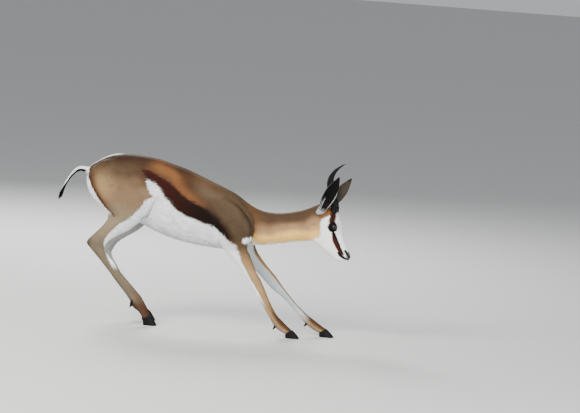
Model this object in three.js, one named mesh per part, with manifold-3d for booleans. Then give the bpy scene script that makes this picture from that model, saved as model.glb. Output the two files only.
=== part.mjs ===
// Springbok, life size, braced over outstretched forelegs with its head held low.
// Frame: +X the way the animal faces, +Y its left, +Z up, millimetres, floor at Z = 0.
// Every fleshy form is a loft over rungs. A rung crosses the form, seen from the side, from its
// lower or rear edge to its upper or front edge, and says how wide the form is there.

import * as THREE from 'three';
import { ParametricGeometry } from 'three/addons/geometries/ParametricGeometry.js';
import { mergeVertices } from 'three/addons/utils/BufferGeometryUtils.js';
import Module from 'manifold-3d';

const wasm = await Module();
wasm.setup();

// Driving sizes
const MEETING_GAP = 0.3;
const MUSCLE_FULLNESS = 0.86;
const DOME_ANGLE = 0.46 * Math.PI;
const DOME_SLICES = 3;
const FAR_AWAY = 4000;
const ATLAS_X = 480;
const HEAD_TURN = THREE.MathUtils.degToRad(5);
const EYE_RADIUS = 15.5;
const EYE_CENTRE = [540, 455];
const EYE_OUT = 30;
const LID_THICKNESS = 2.4;
const EYE_OPENING_LENGTH = 29;
const EYE_OPENING_HEIGHT = 21;
const EYE_SLANT = THREE.MathUtils.degToRad(58);
const ORBIT = { at: [529, 24, 461], radii: [27, 19, 21], pitch: 1.05 };
const NOSE_WING = { at: [586, 9, 343], radii: [16, 12, 8], pitch: 0.9 };
const EAR_MUSCLE = { at: [482, 20, 504], radii: [22, 20, 22], pitch: 0 };
const NOSTRIL = { at: [598, 13, 350], radii: [9, 6, 2.6], pitch: 0.95 };
const LIP_GAP = 2.2;
const MOUTH_DEPTH = 5;
const HORN_BASE_RADIUS = 13;
const HORN_RING_PITCH = 12.5;
const HORN_RING_HEIGHT = 1.5;
const HORN_RINGED_SHARE = 0.66;
const EAR_HALF_WIDTH = 25;
const EAR_WALL = 3;
const EAR_BOW = 4;
const EAR_PINCH = 0.3;
const EAR_PINCH_OPENS = 2.4;
const EAR_TIP_HALF_WIDTH = 0.4;
const EAR_HOLLOW_REACH = 0.985;
const CLAW_HALF_WIDTH = 8.6;
const CLAW_SPACING = 9.1;
const DEWCLAW_LENGTH = 17;
const DEWCLAW_RADIUS = 5.4;
const DEWCLAW_SPACING = 9.5;
const DEWCLAW_SUNK = 7;
const TUFT_LOCKS = 10;
const TUFT_LOCK_LENGTH = 40;
const TUFT_STARTS_AT = 0.72;
const FRINGE_LOCKS = 5;
const FRINGE_LOCK_LENGTH = 40;
const FRINGE_STARTS_AT = 0.22;
const FRINGE_PITCH = 0.07;
const GOLDEN_TURN = 2.4;

// Colours of the coat and of the bare parts
const COLOURS = {
  saddle: '#8a5a3a',
  throat: '#c9a27c',
  face: '#e6e3dc',
  leg: '#a87f5f',
  white: '#e9e8e2',
  ear: '#8f8577',
  horn: '#26231f',
  hoof: '#1c1a18',
  eye: '#0d0a08',
};

// Trunk: low X, low Z, high X, high Z, half width, widest share from below
const TRUNK = [
  [-474, 566, -479, 601, 15, 0.5],
  [-462, 528, -465, 618, 38, 0.5],
  [-440, 492, -442, 633, 58, 0.5],
  [-405, 452, -405, 655, 72, 0.52],
  [-360, 420, -360, 669, 80, 0.55],
  [-310, 402, -305, 672, 82, 0.57],
  [-256, 397, -250, 669, 78, 0.55],
  [-203, 376, -190, 661, 78, 0.5],
  [-150, 358, -130, 645, 85, 0.47],
  [-95, 343, -75, 629, 92, 0.45],
  [-37, 334, -20, 608, 95, 0.45],
  [30, 328, 40, 584, 92, 0.45],
  [85, 325, 84, 567, 84, 0.44],
  [135, 330, 125, 549, 72, 0.43],
  [175, 342, 163, 525, 58, 0.43],
  [205, 357, 192, 505, 44, 0.45],
  [224, 385, 214, 478, 22, 0.5],
];

// Neck: from inside the chest to inside the skull
const NECK = [
  [120, 332, 105, 552, 66, 0.45],
  [165, 342, 150, 533, 60, 0.46],
  [207, 350, 193, 507, 52, 0.48],
  [252, 353, 242, 489, 46, 0.5],
  [305, 362, 297, 486, 41, 0.52],
  [360, 374, 350, 494, 38, 0.53],
  [412, 383, 400, 508, 37, 0.54],
  [452, 388, 442, 526, 37, 0.55],
  [480, 400, 470, 534, 33, 0.55],
];

// Head, before it is turned: each rung runs from the jaw line up to the forehead and the nose
const HEAD = [
  [437, 402, 446, 530, 27, 0.55],
  [446, 392, 480, 537, 34, 0.58],
  [455, 385, 514, 527, 39, 0.62],
  [466, 376, 539, 511, 42, 0.68],
  [480, 366, 552, 483, 42, 0.7],
  [496, 355, 560, 450, 37, 0.66],
  [511, 344, 571, 419, 31, 0.62],
  [526, 334, 583, 390, 26, 0.6],
  [541, 325, 594, 366, 22.5, 0.58],
  [555, 318, 602, 349, 21, 0.56],
  [571, 318, 605, 335, 18, 0.52],
  [583, 321, 602, 328, 11, 0.5],
];

// Near hind leg: rear X, rear Z, front X, front Z, distance from the middle plane, half width
const HINDLEG = [
  [-418, 640, -335, 652, 34, 20],
  [-460, 606, -272, 624, 44, 38],
  [-474, 566, -232, 574, 50, 46],
  [-465, 524, -208, 526, 53, 47],
  [-444, 492, -193, 484, 56, 43],
  [-412, 461, -207, 446, 59, 37],
  [-374, 427, -240, 411, 62, 31],
  [-384, 396, -283, 373, 65, 26],
  [-408, 366, -328, 347, 66, 23],
  [-434, 338, -366, 321, 66, 20.5],
  [-454, 314, -379, 297, 65, 19],
  [-446, 296, -376, 281, 64, 18.5],
  [-421, 270, -362, 263, 64, 16.5],
  [-391, 238, -340, 240, 64, 14],
  [-350, 193, -311, 204, 64, 12.5],
  [-306, 148, -273, 166, 65, 12.5],
  [-270, 112, -241, 134, 66, 14],
  [-255, 88, -219, 112, 67, 17],
  [-238, 66, -203, 90, 68, 16],
  [-218, 44, -188, 64, 69, 16],
  [-203, 24, -176, 41, 69, 17.2],
];
const HIND_HOOF = { heel: -202, toe: -147, heelLift: 16, rise: 24 };

// Near foreleg: shoulder blade, upper arm, forearm, knee, cannon, fetlock and pastern
const FORELEG = [
  [26, 524, 84, 540, 44, 14],
  [34, 498, 128, 518, 54, 24],
  [50, 462, 168, 490, 61, 30],
  [67, 425, 198, 454, 66, 32],
  [80, 388, 212, 414, 67, 31],
  [87, 355, 206, 374, 66, 28],
  [106, 326, 197, 345, 64, 25],
  [134, 301, 209, 318, 62, 22.5],
  [165, 272, 224, 287, 61, 20],
  [189, 245, 238, 254, 60, 18.5],
  [211, 215, 257, 226, 60, 18.5],
  [233, 180, 275, 195, 60, 17.5],
  [256, 146, 292, 160, 60, 14.5],
  [282, 109, 313, 121, 60, 12.5],
  [307, 73, 336, 86, 60, 13],
  [328, 40, 361, 64, 60, 16],
  [352, 24, 378, 49, 60, 15.5],
  [374, 15, 398, 33, 60, 16.8],
];
const FORE_HOOF = { heel: 375, toe: 431, heelLift: 9, rise: 20 };

// How the left legs stand apart from the right ones: shares of the way down and the shift there
const LEFT_HIND_SHIFT = [
  [0, 0],
  [0, 0],
  [4, -6],
  [12, -12],
  [4, -22],
  [-10, -30],
  [-22, -32],
  [-32, -28],
  [-36, 0],
];
const LEFT_FORELEG = [
  [26, 524, 84, 540, 44, 14],
  [36, 498, 130, 518, 54, 24],
  [56, 462, 172, 490, 61, 30],
  [78, 425, 203, 454, 66, 32],
  [96, 386, 214, 410, 67, 31],
  [108, 348, 213, 370, 66, 28],
  [130, 312, 205, 346, 65, 25],
  [164, 281, 216, 318, 64, 22.5],
  [199, 254, 238, 289, 63, 20],
  [232, 224, 266, 258, 63, 18.5],
  [265, 192, 298, 226, 63, 18.5],
  [293, 168, 322, 196, 63, 17.5],
  [324, 148, 346, 168, 63, 14],
  [368, 110, 388, 124, 63, 12],
  [410, 68, 432, 86, 63, 13],
  [432, 46, 462, 66, 63, 16],
  [462, 26, 488, 49, 63, 15.5],
  [489, 15, 514, 33, 63, 16.8],
];
const LEFT_FORE_HOOF = { heel: 490, toe: 549, heelLift: 9, rise: 20 };

// Tail: centre X, Z, and radius along its arc from the rump to the tuft
const TAIL = [
  [-462, 588, 15],
  [-488, 593, 14],
  [-510, 594, 11.5],
  [-530, 585, 9],
  [-548, 567, 7.5],
  [-563, 545, 6.5],
  [-574, 521, 6],
  [-580, 502, 5],
  [-582, 490, 3],
];

// Horn: centre X, Z, and distance from the middle plane, before the head is turned
const HORN = [
  [522, 490, 15],
  [529, 519, 17],
  [525, 545, 19],
  [516, 572, 21],
  [506, 600, 23],
  [502, 628, 24],
  [508, 655, 23],
  [526, 681, 21],
  [556, 704, 17],
];

// Ear, before the head is turned: centre X, Z and distance from the middle plane
const EAR_ROOT = [480, 510, 36];
const EAR_TIPS = { right: [558, 656, 84], left: [566, 640, 84] };
const EAR_WIDTH_SHARES = [0.55, 0.7, 0.93, 1, 0.9, 0.58, 0.1];
const EAR_DEPTH_SHARES = [0.6, 0.62, 0.56, 0.46, 0.36, 0.24, 0.06];
const EAR_OPENS_FROM = 0.1;

// Parting planes, seen from the side: a point on each and the way its far side lies
const NECK_BASE = { at: [220, 430], away: [0.973, 0.231] };
const HEAD_BASE = { at: [455, 460], away: [0.999, -0.035] };
const TAIL_BASE = { at: [-482, 590], away: [-1, 0] };
const HIP_LINE = { at: [-330, 552], away: [-0.2, -0.98] };
const SHOULDER_LINE = { at: [130, 455], away: [0.35, -0.937] };

function solidOf(geometry) {
  geometry.deleteAttribute('normal');
  geometry.deleteAttribute('uv');
  const merged = mergeVertices(geometry, 1e-4);
  const points = merged.attributes.position.array;
  const corners = [];
  let volume = 0;
  for (let i = 0; i < merged.index.count; i += 3) {
    const [a, b, c] = [0, 1, 2].map((k) => merged.index.getX(i + k));
    if (a === b || b === c || c === a) continue;
    corners.push(a, b, c);
    const [p, q, r] = [a, b, c].map((k) => new THREE.Vector3().fromArray(points, 3 * k));
    volume += p.dot(q.cross(r));
  }
  if (volume < 0) corners.reverse();
  const mesh = new wasm.Mesh({
    numProp: 3,
    vertProperties: new Float32Array(points),
    triVerts: new Uint32Array(corners),
  });
  return new wasm.Manifold(mesh);
}

function geometryOf(solid) {
  const parts = solid.decompose();
  parts.sort((one, other) => other.volume() - one.volume());
  const mesh = parts[0].getMesh();
  const geometry = new THREE.BufferGeometry();
  geometry.setAttribute('position', new THREE.BufferAttribute(mesh.vertProperties, 3));
  geometry.setIndex(new THREE.BufferAttribute(mesh.triVerts, 1));
  return geometry;
}

function joined(solids) {
  return solids.reduce((sum, solid) => sum.add(solid));
}

// A closed form swept through slices: ringPoint(share round, share along, target) gives its skin
function closedForm(ringPoint, around, along) {
  const slices = along + 2;
  const spot = new THREE.Vector3();
  const geometry = new ParametricGeometry(
    (u, v, target) => {
      const slice = Math.round(v * slices);
      const share = THREE.MathUtils.clamp((slice - 1) / along, 0, 1);
      if (slice > 0 && slice < slices) {
        ringPoint(u % 1, share, target);
        return;
      }
      target.set(0, 0, 0);
      for (let i = 0; i < around; i += 1) {
        ringPoint(i / around, share, spot);
        target.addScaledVector(spot, 1 / around);
      }
    },
    around,
    slices,
  );
  return solidOf(geometry);
}

function smoothRun(points) {
  return new THREE.CatmullRomCurve3(points, false, 'catmullrom', 0.5);
}

// A fleshy form over its rungs. grow swells it evenly. A middle form has side 0, and its rungs end
// in half width and widest share; a limb has side -1 or 1, and its rungs end in distance and half width.
function fleshForm(rungs, { side = 0, grow = 0, around = 20, steps = 2, roundEnd = 0 } = {}) {
  const low = smoothRun(rungs.map((r) => new THREE.Vector3(r[0], 0, r[1])));
  const high = smoothRun(rungs.map((r) => new THREE.Vector3(r[2], 0, r[3])));
  const middleRung = side === 0;
  const sizes = smoothRun(
    rungs.map((r) =>
      middleRung ? new THREE.Vector3(0, r[4], r[5]) : new THREE.Vector3(side * r[4], r[5], 0.5),
    ),
  );
  const along = (rungs.length - 1) * steps;
  const domeSlices = roundEnd > 0 ? DOME_SLICES : 0;
  const rise = new THREE.Vector3();
  const outward = new THREE.Vector3();
  const ringPoint = (u, share, target) => {
    const slice = share * (along + domeSlices);
    const t = Math.min(slice / along, 1);
    const dome = Math.max(slice - along, 0) / Math.max(domeSlices, 1);
    const lowPoint = low.getPoint(t);
    const highPoint = high.getPoint(t);
    const { x: centreY, y: half, z: widest } = sizes.getPoint(t);
    rise.subVectors(highPoint, lowPoint);
    const height = rise.length();
    rise.normalize();
    const angle = u * 2 * Math.PI;
    const shrink = Math.cos(dome * DOME_ANGLE);
    const level = -Math.cos(angle);
    const widestHeight = widest * height;
    const reach = level < 0 ? widestHeight + grow : height - widestHeight + grow;
    const across = Math.sign(Math.sin(angle)) * Math.abs(Math.sin(angle)) ** MUSCLE_FULLNESS;
    target.copy(lowPoint).addScaledVector(rise, widestHeight + shrink * level * reach);
    target.y = centreY + shrink * across * (half + grow);
    if (dome > 0) {
      outward.set(rise.z, 0, -rise.x);
      target.addScaledVector(outward, roundEnd * Math.sin(dome * DOME_ANGLE));
    }
  };
  return closedForm(ringPoint, around, along + domeSlices);
}

// A limb of changing radius along a path: radiusAt(share along) gives its radius
function roundLimb(path, radiusAt, { around = 12, along = 24, flatness = 1 } = {}) {
  const frames = path.computeFrenetFrames(along, false);
  const ringPoint = (u, share, target) => {
    const slice = Math.round(share * along);
    const radius = radiusAt(share);
    const angle = u * 2 * Math.PI;
    path.getPointAt(share, target);
    target.addScaledVector(frames.normals[slice], Math.cos(angle) * radius);
    target.addScaledVector(frames.binormals[slice], Math.sin(angle) * radius * flatness);
  };
  return closedForm(ringPoint, around, along);
}

function ellipsoid([x, y, z], [rx, ry, rz], pitch = 0, around = 12) {
  const ball = new THREE.SphereGeometry(1, around, around - 3);
  ball.scale(rx, ry, rz);
  ball.rotateY(pitch);
  ball.translate(x, y, z);
  return solidOf(ball);
}

// All that lies on the far side of a parting plane, or on its near side when flipped
function halfSpace({ at, away }, flipped = false) {
  const direction = new THREE.Vector3(away[0], 0, away[1]).normalize();
  if (flipped) direction.negate();
  const slab = new THREE.BoxGeometry(FAR_AWAY, FAR_AWAY, FAR_AWAY);
  slab.translate(FAR_AWAY / 2 + MEETING_GAP / 2, 0, 0);
  slab.rotateY(Math.atan2(-direction.z, direction.x));
  slab.translate(at[0], 0, at[1]);
  return solidOf(slab);
}

// The head is modelled straight and then turned a little to the animal's right at the atlas
function turned(solid) {
  const toOrigin = new THREE.Matrix4().makeTranslation(-ATLAS_X, 0, 0);
  const turn = new THREE.Matrix4().makeRotationZ(-HEAD_TURN);
  const back = new THREE.Matrix4().makeTranslation(ATLAS_X, 0, 0);
  return solid.transform(back.multiply(turn).multiply(toOrigin).elements);
}

// A bulge or a hollow of the head, on its right or left side
function onSide(side, { at, radii, pitch }, grow = 0) {
  return ellipsoid([at[0], side * at[1], at[2]], radii.map((r) => r + grow), pitch);
}

function eyeBall(side, radius) {
  const centre = [EYE_CENTRE[0], side * EYE_OUT, EYE_CENTRE[1]];
  return ellipsoid(centre, [radius, radius, radius], 0, 14);
}

// The almond between the lids, cut straight outwards from the eye
function lidOpening(side) {
  const half = EYE_OPENING_LENGTH / 2;
  const bow = EYE_OPENING_HEIGHT;
  const almond = new THREE.Shape();
  almond.moveTo(-half, 0);
  almond.quadraticCurveTo(0, bow, half, 0);
  almond.quadraticCurveTo(0, -bow, -half, 0);
  const cutter = new THREE.ExtrudeGeometry(almond, {
    depth: 3 * EYE_RADIUS,
    bevelEnabled: false,
    curveSegments: 8,
  });
  cutter.rotateX(Math.PI / 2);
  if (side > 0) cutter.rotateX(Math.PI);
  cutter.rotateY(EYE_SLANT);
  cutter.translate(EYE_CENTRE[0], side * EYE_OUT, EYE_CENTRE[1]);
  return solidOf(cutter);
}

// The line between the lips, cut as deep as the lips are thick
function mouthLine() {
  const line = new THREE.QuadraticBezierCurve(
    new THREE.Vector2(558, 353),
    new THREE.Vector2(575, 338),
    new THREE.Vector2(610, 326),
  );
  const points = line.getPoints(8);
  const upper = points.map((p) => new THREE.Vector2(p.x, p.y + LIP_GAP / 2));
  const lower = points.map((p) => new THREE.Vector2(p.x, p.y - LIP_GAP / 2)).reverse();
  const slit = new THREE.ExtrudeGeometry(new THREE.Shape([...upper, ...lower]), {
    depth: 2 * EYE_OUT,
    bevelEnabled: false,
  });
  slit.translate(0, 0, -EYE_OUT);
  slit.rotateX(Math.PI / 2);
  return solidOf(slit).subtract(fleshForm(HEAD, { grow: -MOUTH_DEPTH }));
}

function headSolid(grow) {
  const forms = [fleshForm(HEAD, { grow, around: 24, steps: 2, roundEnd: 4 })];
  for (const side of [-1, 1]) {
    forms.push(onSide(side, ORBIT, grow));
    forms.push(onSide(side, NOSE_WING, grow));
    forms.push(onSide(side, EAR_MUSCLE, grow));
    forms.push(eyeBall(side, EYE_RADIUS + LID_THICKNESS + grow));
  }
  return joined(forms);
}

// The head with its lids opened, its nostrils sunk and the line of the mouth drawn
function carvedHead() {
  let carved = headSolid(0);
  for (const side of [-1, 1]) {
    carved = carved.subtract(eyeBall(side, EYE_RADIUS + MEETING_GAP));
    carved = carved.subtract(lidOpening(side));
    carved = carved.subtract(onSide(side, NOSTRIL));
  }
  return carved.subtract(mouthLine());
}

// Ears: leaf-shaped cups with a rolled root, the hollow side turned outwards
function ear(side, tip) {
  const root = new THREE.Vector3(EAR_ROOT[0], side * EAR_ROOT[2], EAR_ROOT[1]);
  const end = new THREE.Vector3(tip[0], side * tip[2], tip[1]);
  const axis = end.clone().sub(root).normalize();
  const outwards = new THREE.Vector3(0.25, side, -0.1);
  outwards.addScaledVector(axis, -outwards.dot(axis)).normalize();
  const across = new THREE.Vector3().crossVectors(axis, outwards);
  const shares = smoothRun(
    EAR_WIDTH_SHARES.map((width, i) => new THREE.Vector3(width, EAR_DEPTH_SHARES[i], 0)),
  );
  const leaf = (wall, from) => (u, share, target) => {
    const t = from + (1 - from) * share;
    const { x: width, y: depth } = shares.getPoint(t);
    const angle = u * 2 * Math.PI;
    const pinch = wall > 0 ? Math.min(1, EAR_PINCH + EAR_PINCH_OPENS * share) : 1;
    const halfWidth = Math.max(EAR_HALF_WIDTH * width - wall, EAR_TIP_HALF_WIDTH) * pinch;
    const hollow = EAR_HALF_WIDTH * depth * Math.sin(angle);
    target.lerpVectors(root, end, wall > 0 ? t * EAR_HOLLOW_REACH : t);
    target.addScaledVector(across, halfWidth * Math.cos(angle));
    target.addScaledVector(outwards, hollow * (hollow > 0 ? 1 : pinch));
    target.addScaledVector(outwards, wall + EAR_BOW * Math.sin(Math.PI * t));
  };
  const outside = closedForm(leaf(0, 0), 14, 12);
  const hollow = closedForm(leaf(EAR_WALL, EAR_OPENS_FROM), 14, 11);
  return outside.subtract(hollow);
}

// Horns: ringed over the lower part, leaning back and hooking forwards to a smooth tip
function horn(side) {
  const path = new THREE.CatmullRomCurve3(
    HORN.map(([x, z, out]) => new THREE.Vector3(x, side * out, z)),
  );
  const along = 2 * Math.round(path.getLength() / HORN_RING_PITCH);
  const radiusAt = (share) => {
    const taper = HORN_BASE_RADIUS * (1 - 0.93 * share ** 1.35);
    const onRing = Math.round(share * along) % 2 === 1 && share < HORN_RINGED_SHARE;
    return taper + (onRing ? HORN_RING_HEIGHT * (1 - 0.5 * share) : 0);
  };
  return roundLimb(path, radiusAt, { around: 10, along });
}

// A flat tapered lock of hair that leaves its root along one direction and bends to another
function lock(root, direction, droop, length, width) {
  const middle = root.clone().addScaledVector(direction, length * 0.5);
  const tip = middle.clone().addScaledVector(direction.clone().add(droop).normalize(), length * 0.5);
  const path = new THREE.QuadraticBezierCurve3(root, middle, tip);
  const halfWidthAt = (share) => width * (0.75 + share) * (1 - share ** 1.6) + 0.35;
  return roundLimb(path, halfWidthAt, { around: 5, along: 3, flatness: 0.5 });
}

function tail() {
  const path = new THREE.CatmullRomCurve3(TAIL.map(([x, z]) => new THREE.Vector3(x, 0, z)));
  const radii = smoothRun(TAIL.map(([, , radius]) => new THREE.Vector3(radius, 0, 0)));
  const forms = [roundLimb(path, (share) => radii.getPoint(share).x, { around: 10, along: 14 })];
  for (let i = 0; i < TUFT_LOCKS; i += 1) {
    const share = TUFT_STARTS_AT + ((0.98 - TUFT_STARTS_AT) * i) / (TUFT_LOCKS - 1);
    const turn = i * GOLDEN_TURN;
    const along = path.getTangentAt(share);
    const root = path.getPointAt(share).addScaledVector(along, -4);
    const out = new THREE.Vector3(-Math.abs(Math.cos(turn)) - 0.2, Math.sin(turn), 0.25);
    const lift = i % 3 === 0 ? 0.9 : 0.28;
    const direction = along.clone().addScaledVector(out, lift).normalize();
    const length = TUFT_LOCK_LENGTH * (0.62 + 0.38 * (i / (TUFT_LOCKS - 1)));
    forms.push(lock(root, direction, new THREE.Vector3(-0.3, 0, 0.35), length, 4.6));
  }
  for (let i = 0; i < FRINGE_LOCKS; i += 1) {
    const share = FRINGE_STARTS_AT + FRINGE_PITCH * i;
    const along = path.getTangentAt(share);
    const root = path.getPointAt(share);
    const up = new THREE.Vector3(along.z, 0.25 * Math.sin(3 * i), -along.x);
    const direction = along.clone().addScaledVector(up, -0.42).normalize();
    const length = FRINGE_LOCK_LENGTH - 2 * i;
    forms.push(lock(root, direction, new THREE.Vector3(0, 0, -0.2), length, 4.4));
  }
  return joined(forms);
}

// Feet: two claws side by side below each pastern, and two dewclaws behind each fetlock
function claw(pastern, hoof, side, outwards) {
  const [rearX, rearZ, frontX, frontZ, out] = pastern;
  const centre = side * out + outwards * CLAW_SPACING;
  const gap = MEETING_GAP;
  const rungs = [
    [rearX + gap, rearZ - gap, frontX + gap, frontZ - gap, centre, CLAW_HALF_WIDTH - 0.4],
    [hoof.heel, hoof.heelLift * 0.8, (frontX + hoof.toe) / 2, hoof.rise, centre, CLAW_HALF_WIDTH],
    [hoof.heel + 1, 0, hoof.toe, 0, centre, CLAW_HALF_WIDTH],
  ];
  const low = smoothRun(rungs.map((r) => new THREE.Vector3(r[0], r[4], r[1])));
  const high = smoothRun(rungs.map((r) => new THREE.Vector3(r[2], r[4], r[3])));
  const half = smoothRun(rungs.map((r) => new THREE.Vector3(r[5], 0, 0)));
  const ringPoint = (u, share, target) => {
    const angle = u * 2 * Math.PI;
    const lengthwise = (1 - Math.cos(angle)) / 2;
    const pointed = 1 - 0.45 * share * lengthwise ** 3;
    target.lerpVectors(low.getPoint(share), high.getPoint(share), lengthwise);
    const across = Math.sign(Math.sin(angle)) * Math.abs(Math.sin(angle)) ** 0.7;
    target.y += across * half.getPoint(share).x * pointed;
  };
  return closedForm(ringPoint, 12, 3);
}

function dewclaw(fetlock, side, outwards) {
  const [rearX, rearZ, frontX, frontZ, out] = fetlock;
  const back = new THREE.Vector3(rearX - frontX, 0, rearZ - frontZ).normalize();
  const down = new THREE.Vector3(-back.z, 0, back.x);
  const root = new THREE.Vector3(rearX, side * out + outwards * DEWCLAW_SPACING, rearZ);
  root.addScaledVector(back, -DEWCLAW_SUNK);
  const tip = root.clone().addScaledVector(back, DEWCLAW_LENGTH).addScaledVector(down, DEWCLAW_SUNK);
  const middle = root.clone().lerp(tip, 0.5).addScaledVector(back, 2);
  const path = new THREE.QuadraticBezierCurve3(root, middle, tip);
  const radiusAt = (share) => DEWCLAW_RADIUS * (1 - 0.75 * share ** 2);
  return roundLimb(path, radiusAt, { around: 6, along: 3 });
}

function leftHindRungs() {
  const shift = smoothRun(LEFT_HIND_SHIFT.map(([x, z]) => new THREE.Vector3(x, 0, z)));
  return HINDLEG.map((rung, i) => {
    const { x, z } = shift.getPoint(i / (HINDLEG.length - 1));
    const [rearX, rearZ, frontX, frontZ, out, half] = rung;
    return [rearX + x, rearZ + z, frontX + x, frontZ + z, out, half];
  });
}

// The whole animal as named meshes
const animal = new THREE.Group();

function place(name, solid, colour, roughness = 0.9) {
  const material = new THREE.MeshStandardMaterial({ color: colour, roughness, metalness: 0 });
  const mesh = new THREE.Mesh(geometryOf(solid), material);
  mesh.name = name;
  animal.add(mesh);
}

const trunk = (grow) => fleshForm(TRUNK, { grow, around: 24, steps: 2, roundEnd: 8 });
const neck = (grow) => fleshForm(NECK, { grow, around: 20, steps: 2 });

const hindRungs = { right: HINDLEG, left: leftHindRungs() };
const foreRungs = { right: FORELEG, left: LEFT_FORELEG };
const leftHindStep = LEFT_HIND_SHIFT.at(-1)[0];
const hindHooves = {
  right: HIND_HOOF,
  left: { ...HIND_HOOF, heel: HIND_HOOF.heel + leftHindStep, toe: HIND_HOOF.toe + leftHindStep },
};
const foreHooves = { right: FORE_HOOF, left: LEFT_FORE_HOOF };
const sideOf = { right: -1, left: 1 };

const torsoForms = [trunk(0), neck(0)];
const clearOfTrunk = trunk(MEETING_GAP).add(neck(MEETING_GAP));
const limbs = [];
for (const name of ['right', 'left']) {
  const side = sideOf[name];
  const hind = fleshForm(hindRungs[name], { side, around: 14, steps: 2 });
  const fore = fleshForm(foreRungs[name], { side, around: 12, steps: 2 });
  torsoForms.push(hind.intersect(halfSpace(HIP_LINE, true)));
  torsoForms.push(fore.intersect(halfSpace(SHOULDER_LINE, true)));
  const hindBelow = hind.intersect(halfSpace(HIP_LINE)).subtract(clearOfTrunk);
  const foreBelow = fore.intersect(halfSpace(SHOULDER_LINE)).subtract(clearOfTrunk);
  limbs.push([`hindleg_${name}`, hindBelow], [`foreleg_${name}`, foreBelow]);
}
const tailForm = tail();
const torso = joined([...torsoForms, tailForm])
  .intersect(halfSpace(NECK_BASE, true))
  .intersect(halfSpace(TAIL_BASE, true));
const headForms = turned(headSolid(0));
const neckAndHead = neck(0).add(headForms).add(trunk(0));

place('torso', torso, COLOURS.saddle);
place(
  'neck',
  neckAndHead.intersect(halfSpace(NECK_BASE)).intersect(halfSpace(HEAD_BASE, true)),
  COLOURS.throat,
);
place('head', turned(carvedHead()).add(neck(0)).intersect(halfSpace(HEAD_BASE)), COLOURS.face);
place('tail', tailForm.intersect(halfSpace(TAIL_BASE)), COLOURS.white);
for (const [name, solid] of limbs) place(name, solid, COLOURS.leg);

const clearOfHead = headSolid(MEETING_GAP);
const clearOfNeck = neck(MEETING_GAP);
for (const name of ['right', 'left']) {
  const side = sideOf[name];
  const hornForm = horn(side).subtract(clearOfHead);
  const earForm = ear(side, EAR_TIPS[name]).subtract(clearOfHead).subtract(horn(side));
  place(`eye_${name}`, turned(eyeBall(side, EYE_RADIUS)), COLOURS.eye, 0.1);
  place(`horn_${name}`, turned(hornForm).subtract(clearOfNeck), COLOURS.horn, 0.5);
  place(`ear_${name}`, turned(earForm).subtract(clearOfNeck), COLOURS.ear);

  const feet = [
    { foot: 'hind', rungs: hindRungs[name], hoof: hindHooves[name], fetlock: -4, around: 14 },
    { foot: 'fore', rungs: foreRungs[name], hoof: foreHooves[name], fetlock: -3, around: 12 },
  ];
  for (const { foot, rungs, hoof, fetlock, around } of feet) {
    const clearOfLimb = fleshForm(rungs, { side, around, grow: MEETING_GAP });
    for (const [label, outwards] of [
      ['inner', -side],
      ['outer', side],
    ]) {
      const hoofForm = claw(rungs.at(-1), hoof, side, outwards);
      place(`hoof_${foot}_${name}_${label}`, hoofForm, COLOURS.hoof, 0.45);
      const dew = dewclaw(rungs.at(fetlock), side, outwards).subtract(clearOfLimb);
      place(`dewclaw_${foot}_${name}_${label}`, dew, COLOURS.hoof, 0.45);
    }
  }
}

const box = new THREE.Box3().setFromObject(animal);
const middle = box.getCenter(new THREE.Vector3());
animal.position.set(-middle.x, -middle.y, 0);

export default animal;
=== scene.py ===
# %% [markdown]
# # A springbok, braced over its forelegs
# This lesson dresses a plain solid model of a springbok with skin, hair, horn and hoof.
# The solid model is loaded first and never changes. Everything made here sits on it, in metres.

# %% Load the solid model
import math

import bpy
import numpy as np
from mathutils import Matrix, Vector
from mathutils.bvhtree import BVHTree


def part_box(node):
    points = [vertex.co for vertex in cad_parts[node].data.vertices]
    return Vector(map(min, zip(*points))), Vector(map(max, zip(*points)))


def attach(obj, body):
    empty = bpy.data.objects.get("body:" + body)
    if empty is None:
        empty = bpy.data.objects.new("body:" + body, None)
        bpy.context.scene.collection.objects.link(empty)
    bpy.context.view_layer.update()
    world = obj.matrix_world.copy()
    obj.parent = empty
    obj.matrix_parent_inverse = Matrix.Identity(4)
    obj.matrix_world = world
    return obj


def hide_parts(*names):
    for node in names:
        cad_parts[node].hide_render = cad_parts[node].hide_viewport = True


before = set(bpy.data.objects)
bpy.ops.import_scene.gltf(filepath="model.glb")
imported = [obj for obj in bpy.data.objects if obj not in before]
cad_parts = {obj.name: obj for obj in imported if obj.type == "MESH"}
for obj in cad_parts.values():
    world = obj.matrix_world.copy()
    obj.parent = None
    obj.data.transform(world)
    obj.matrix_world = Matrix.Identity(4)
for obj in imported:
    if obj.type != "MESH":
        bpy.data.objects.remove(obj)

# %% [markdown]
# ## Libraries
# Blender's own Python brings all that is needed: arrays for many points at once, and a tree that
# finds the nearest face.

bpy.context.view_layer.update()

# %% [markdown]
# ## Sizes in millimetres
# An animal is easiest to describe from its side. The numbers below are X, forwards, and Z, upwards,
# in millimetres, from a point on the ground between the feet. The toe of the right fore hoof is at
# 431, so its place in the solid model tells how far that point lies from the model's origin.

# %% From millimetres to the model's metres
MM = 0.001
RIGHT_TOE = 431
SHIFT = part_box("hoof_fore_right_outer")[1].x / MM - RIGHT_TOE
RIGHT, LEFT = -1, 1
rng = np.random.default_rng(12)


def place(x, y, z):
    return Vector(((x + SHIFT) * MM, y * MM, z * MM))


def to_metres(points):
    return (np.asarray(points, float) + np.array([SHIFT, 0, 0])) * MM


def to_sizes(points):
    return np.asarray(points, float) / MM - np.array([SHIFT, 0, 0])


print("origin shift", round(SHIFT, 2), "mm")

# %% [markdown]
# ## The camera
# The photo was taken from far away with a long lens, a little above the animal and a little
# towards its head, and the ground runs slightly downhill in the frame. So the camera is aimed at
# the spot in the middle of the frame and rolled by that small angle.

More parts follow.
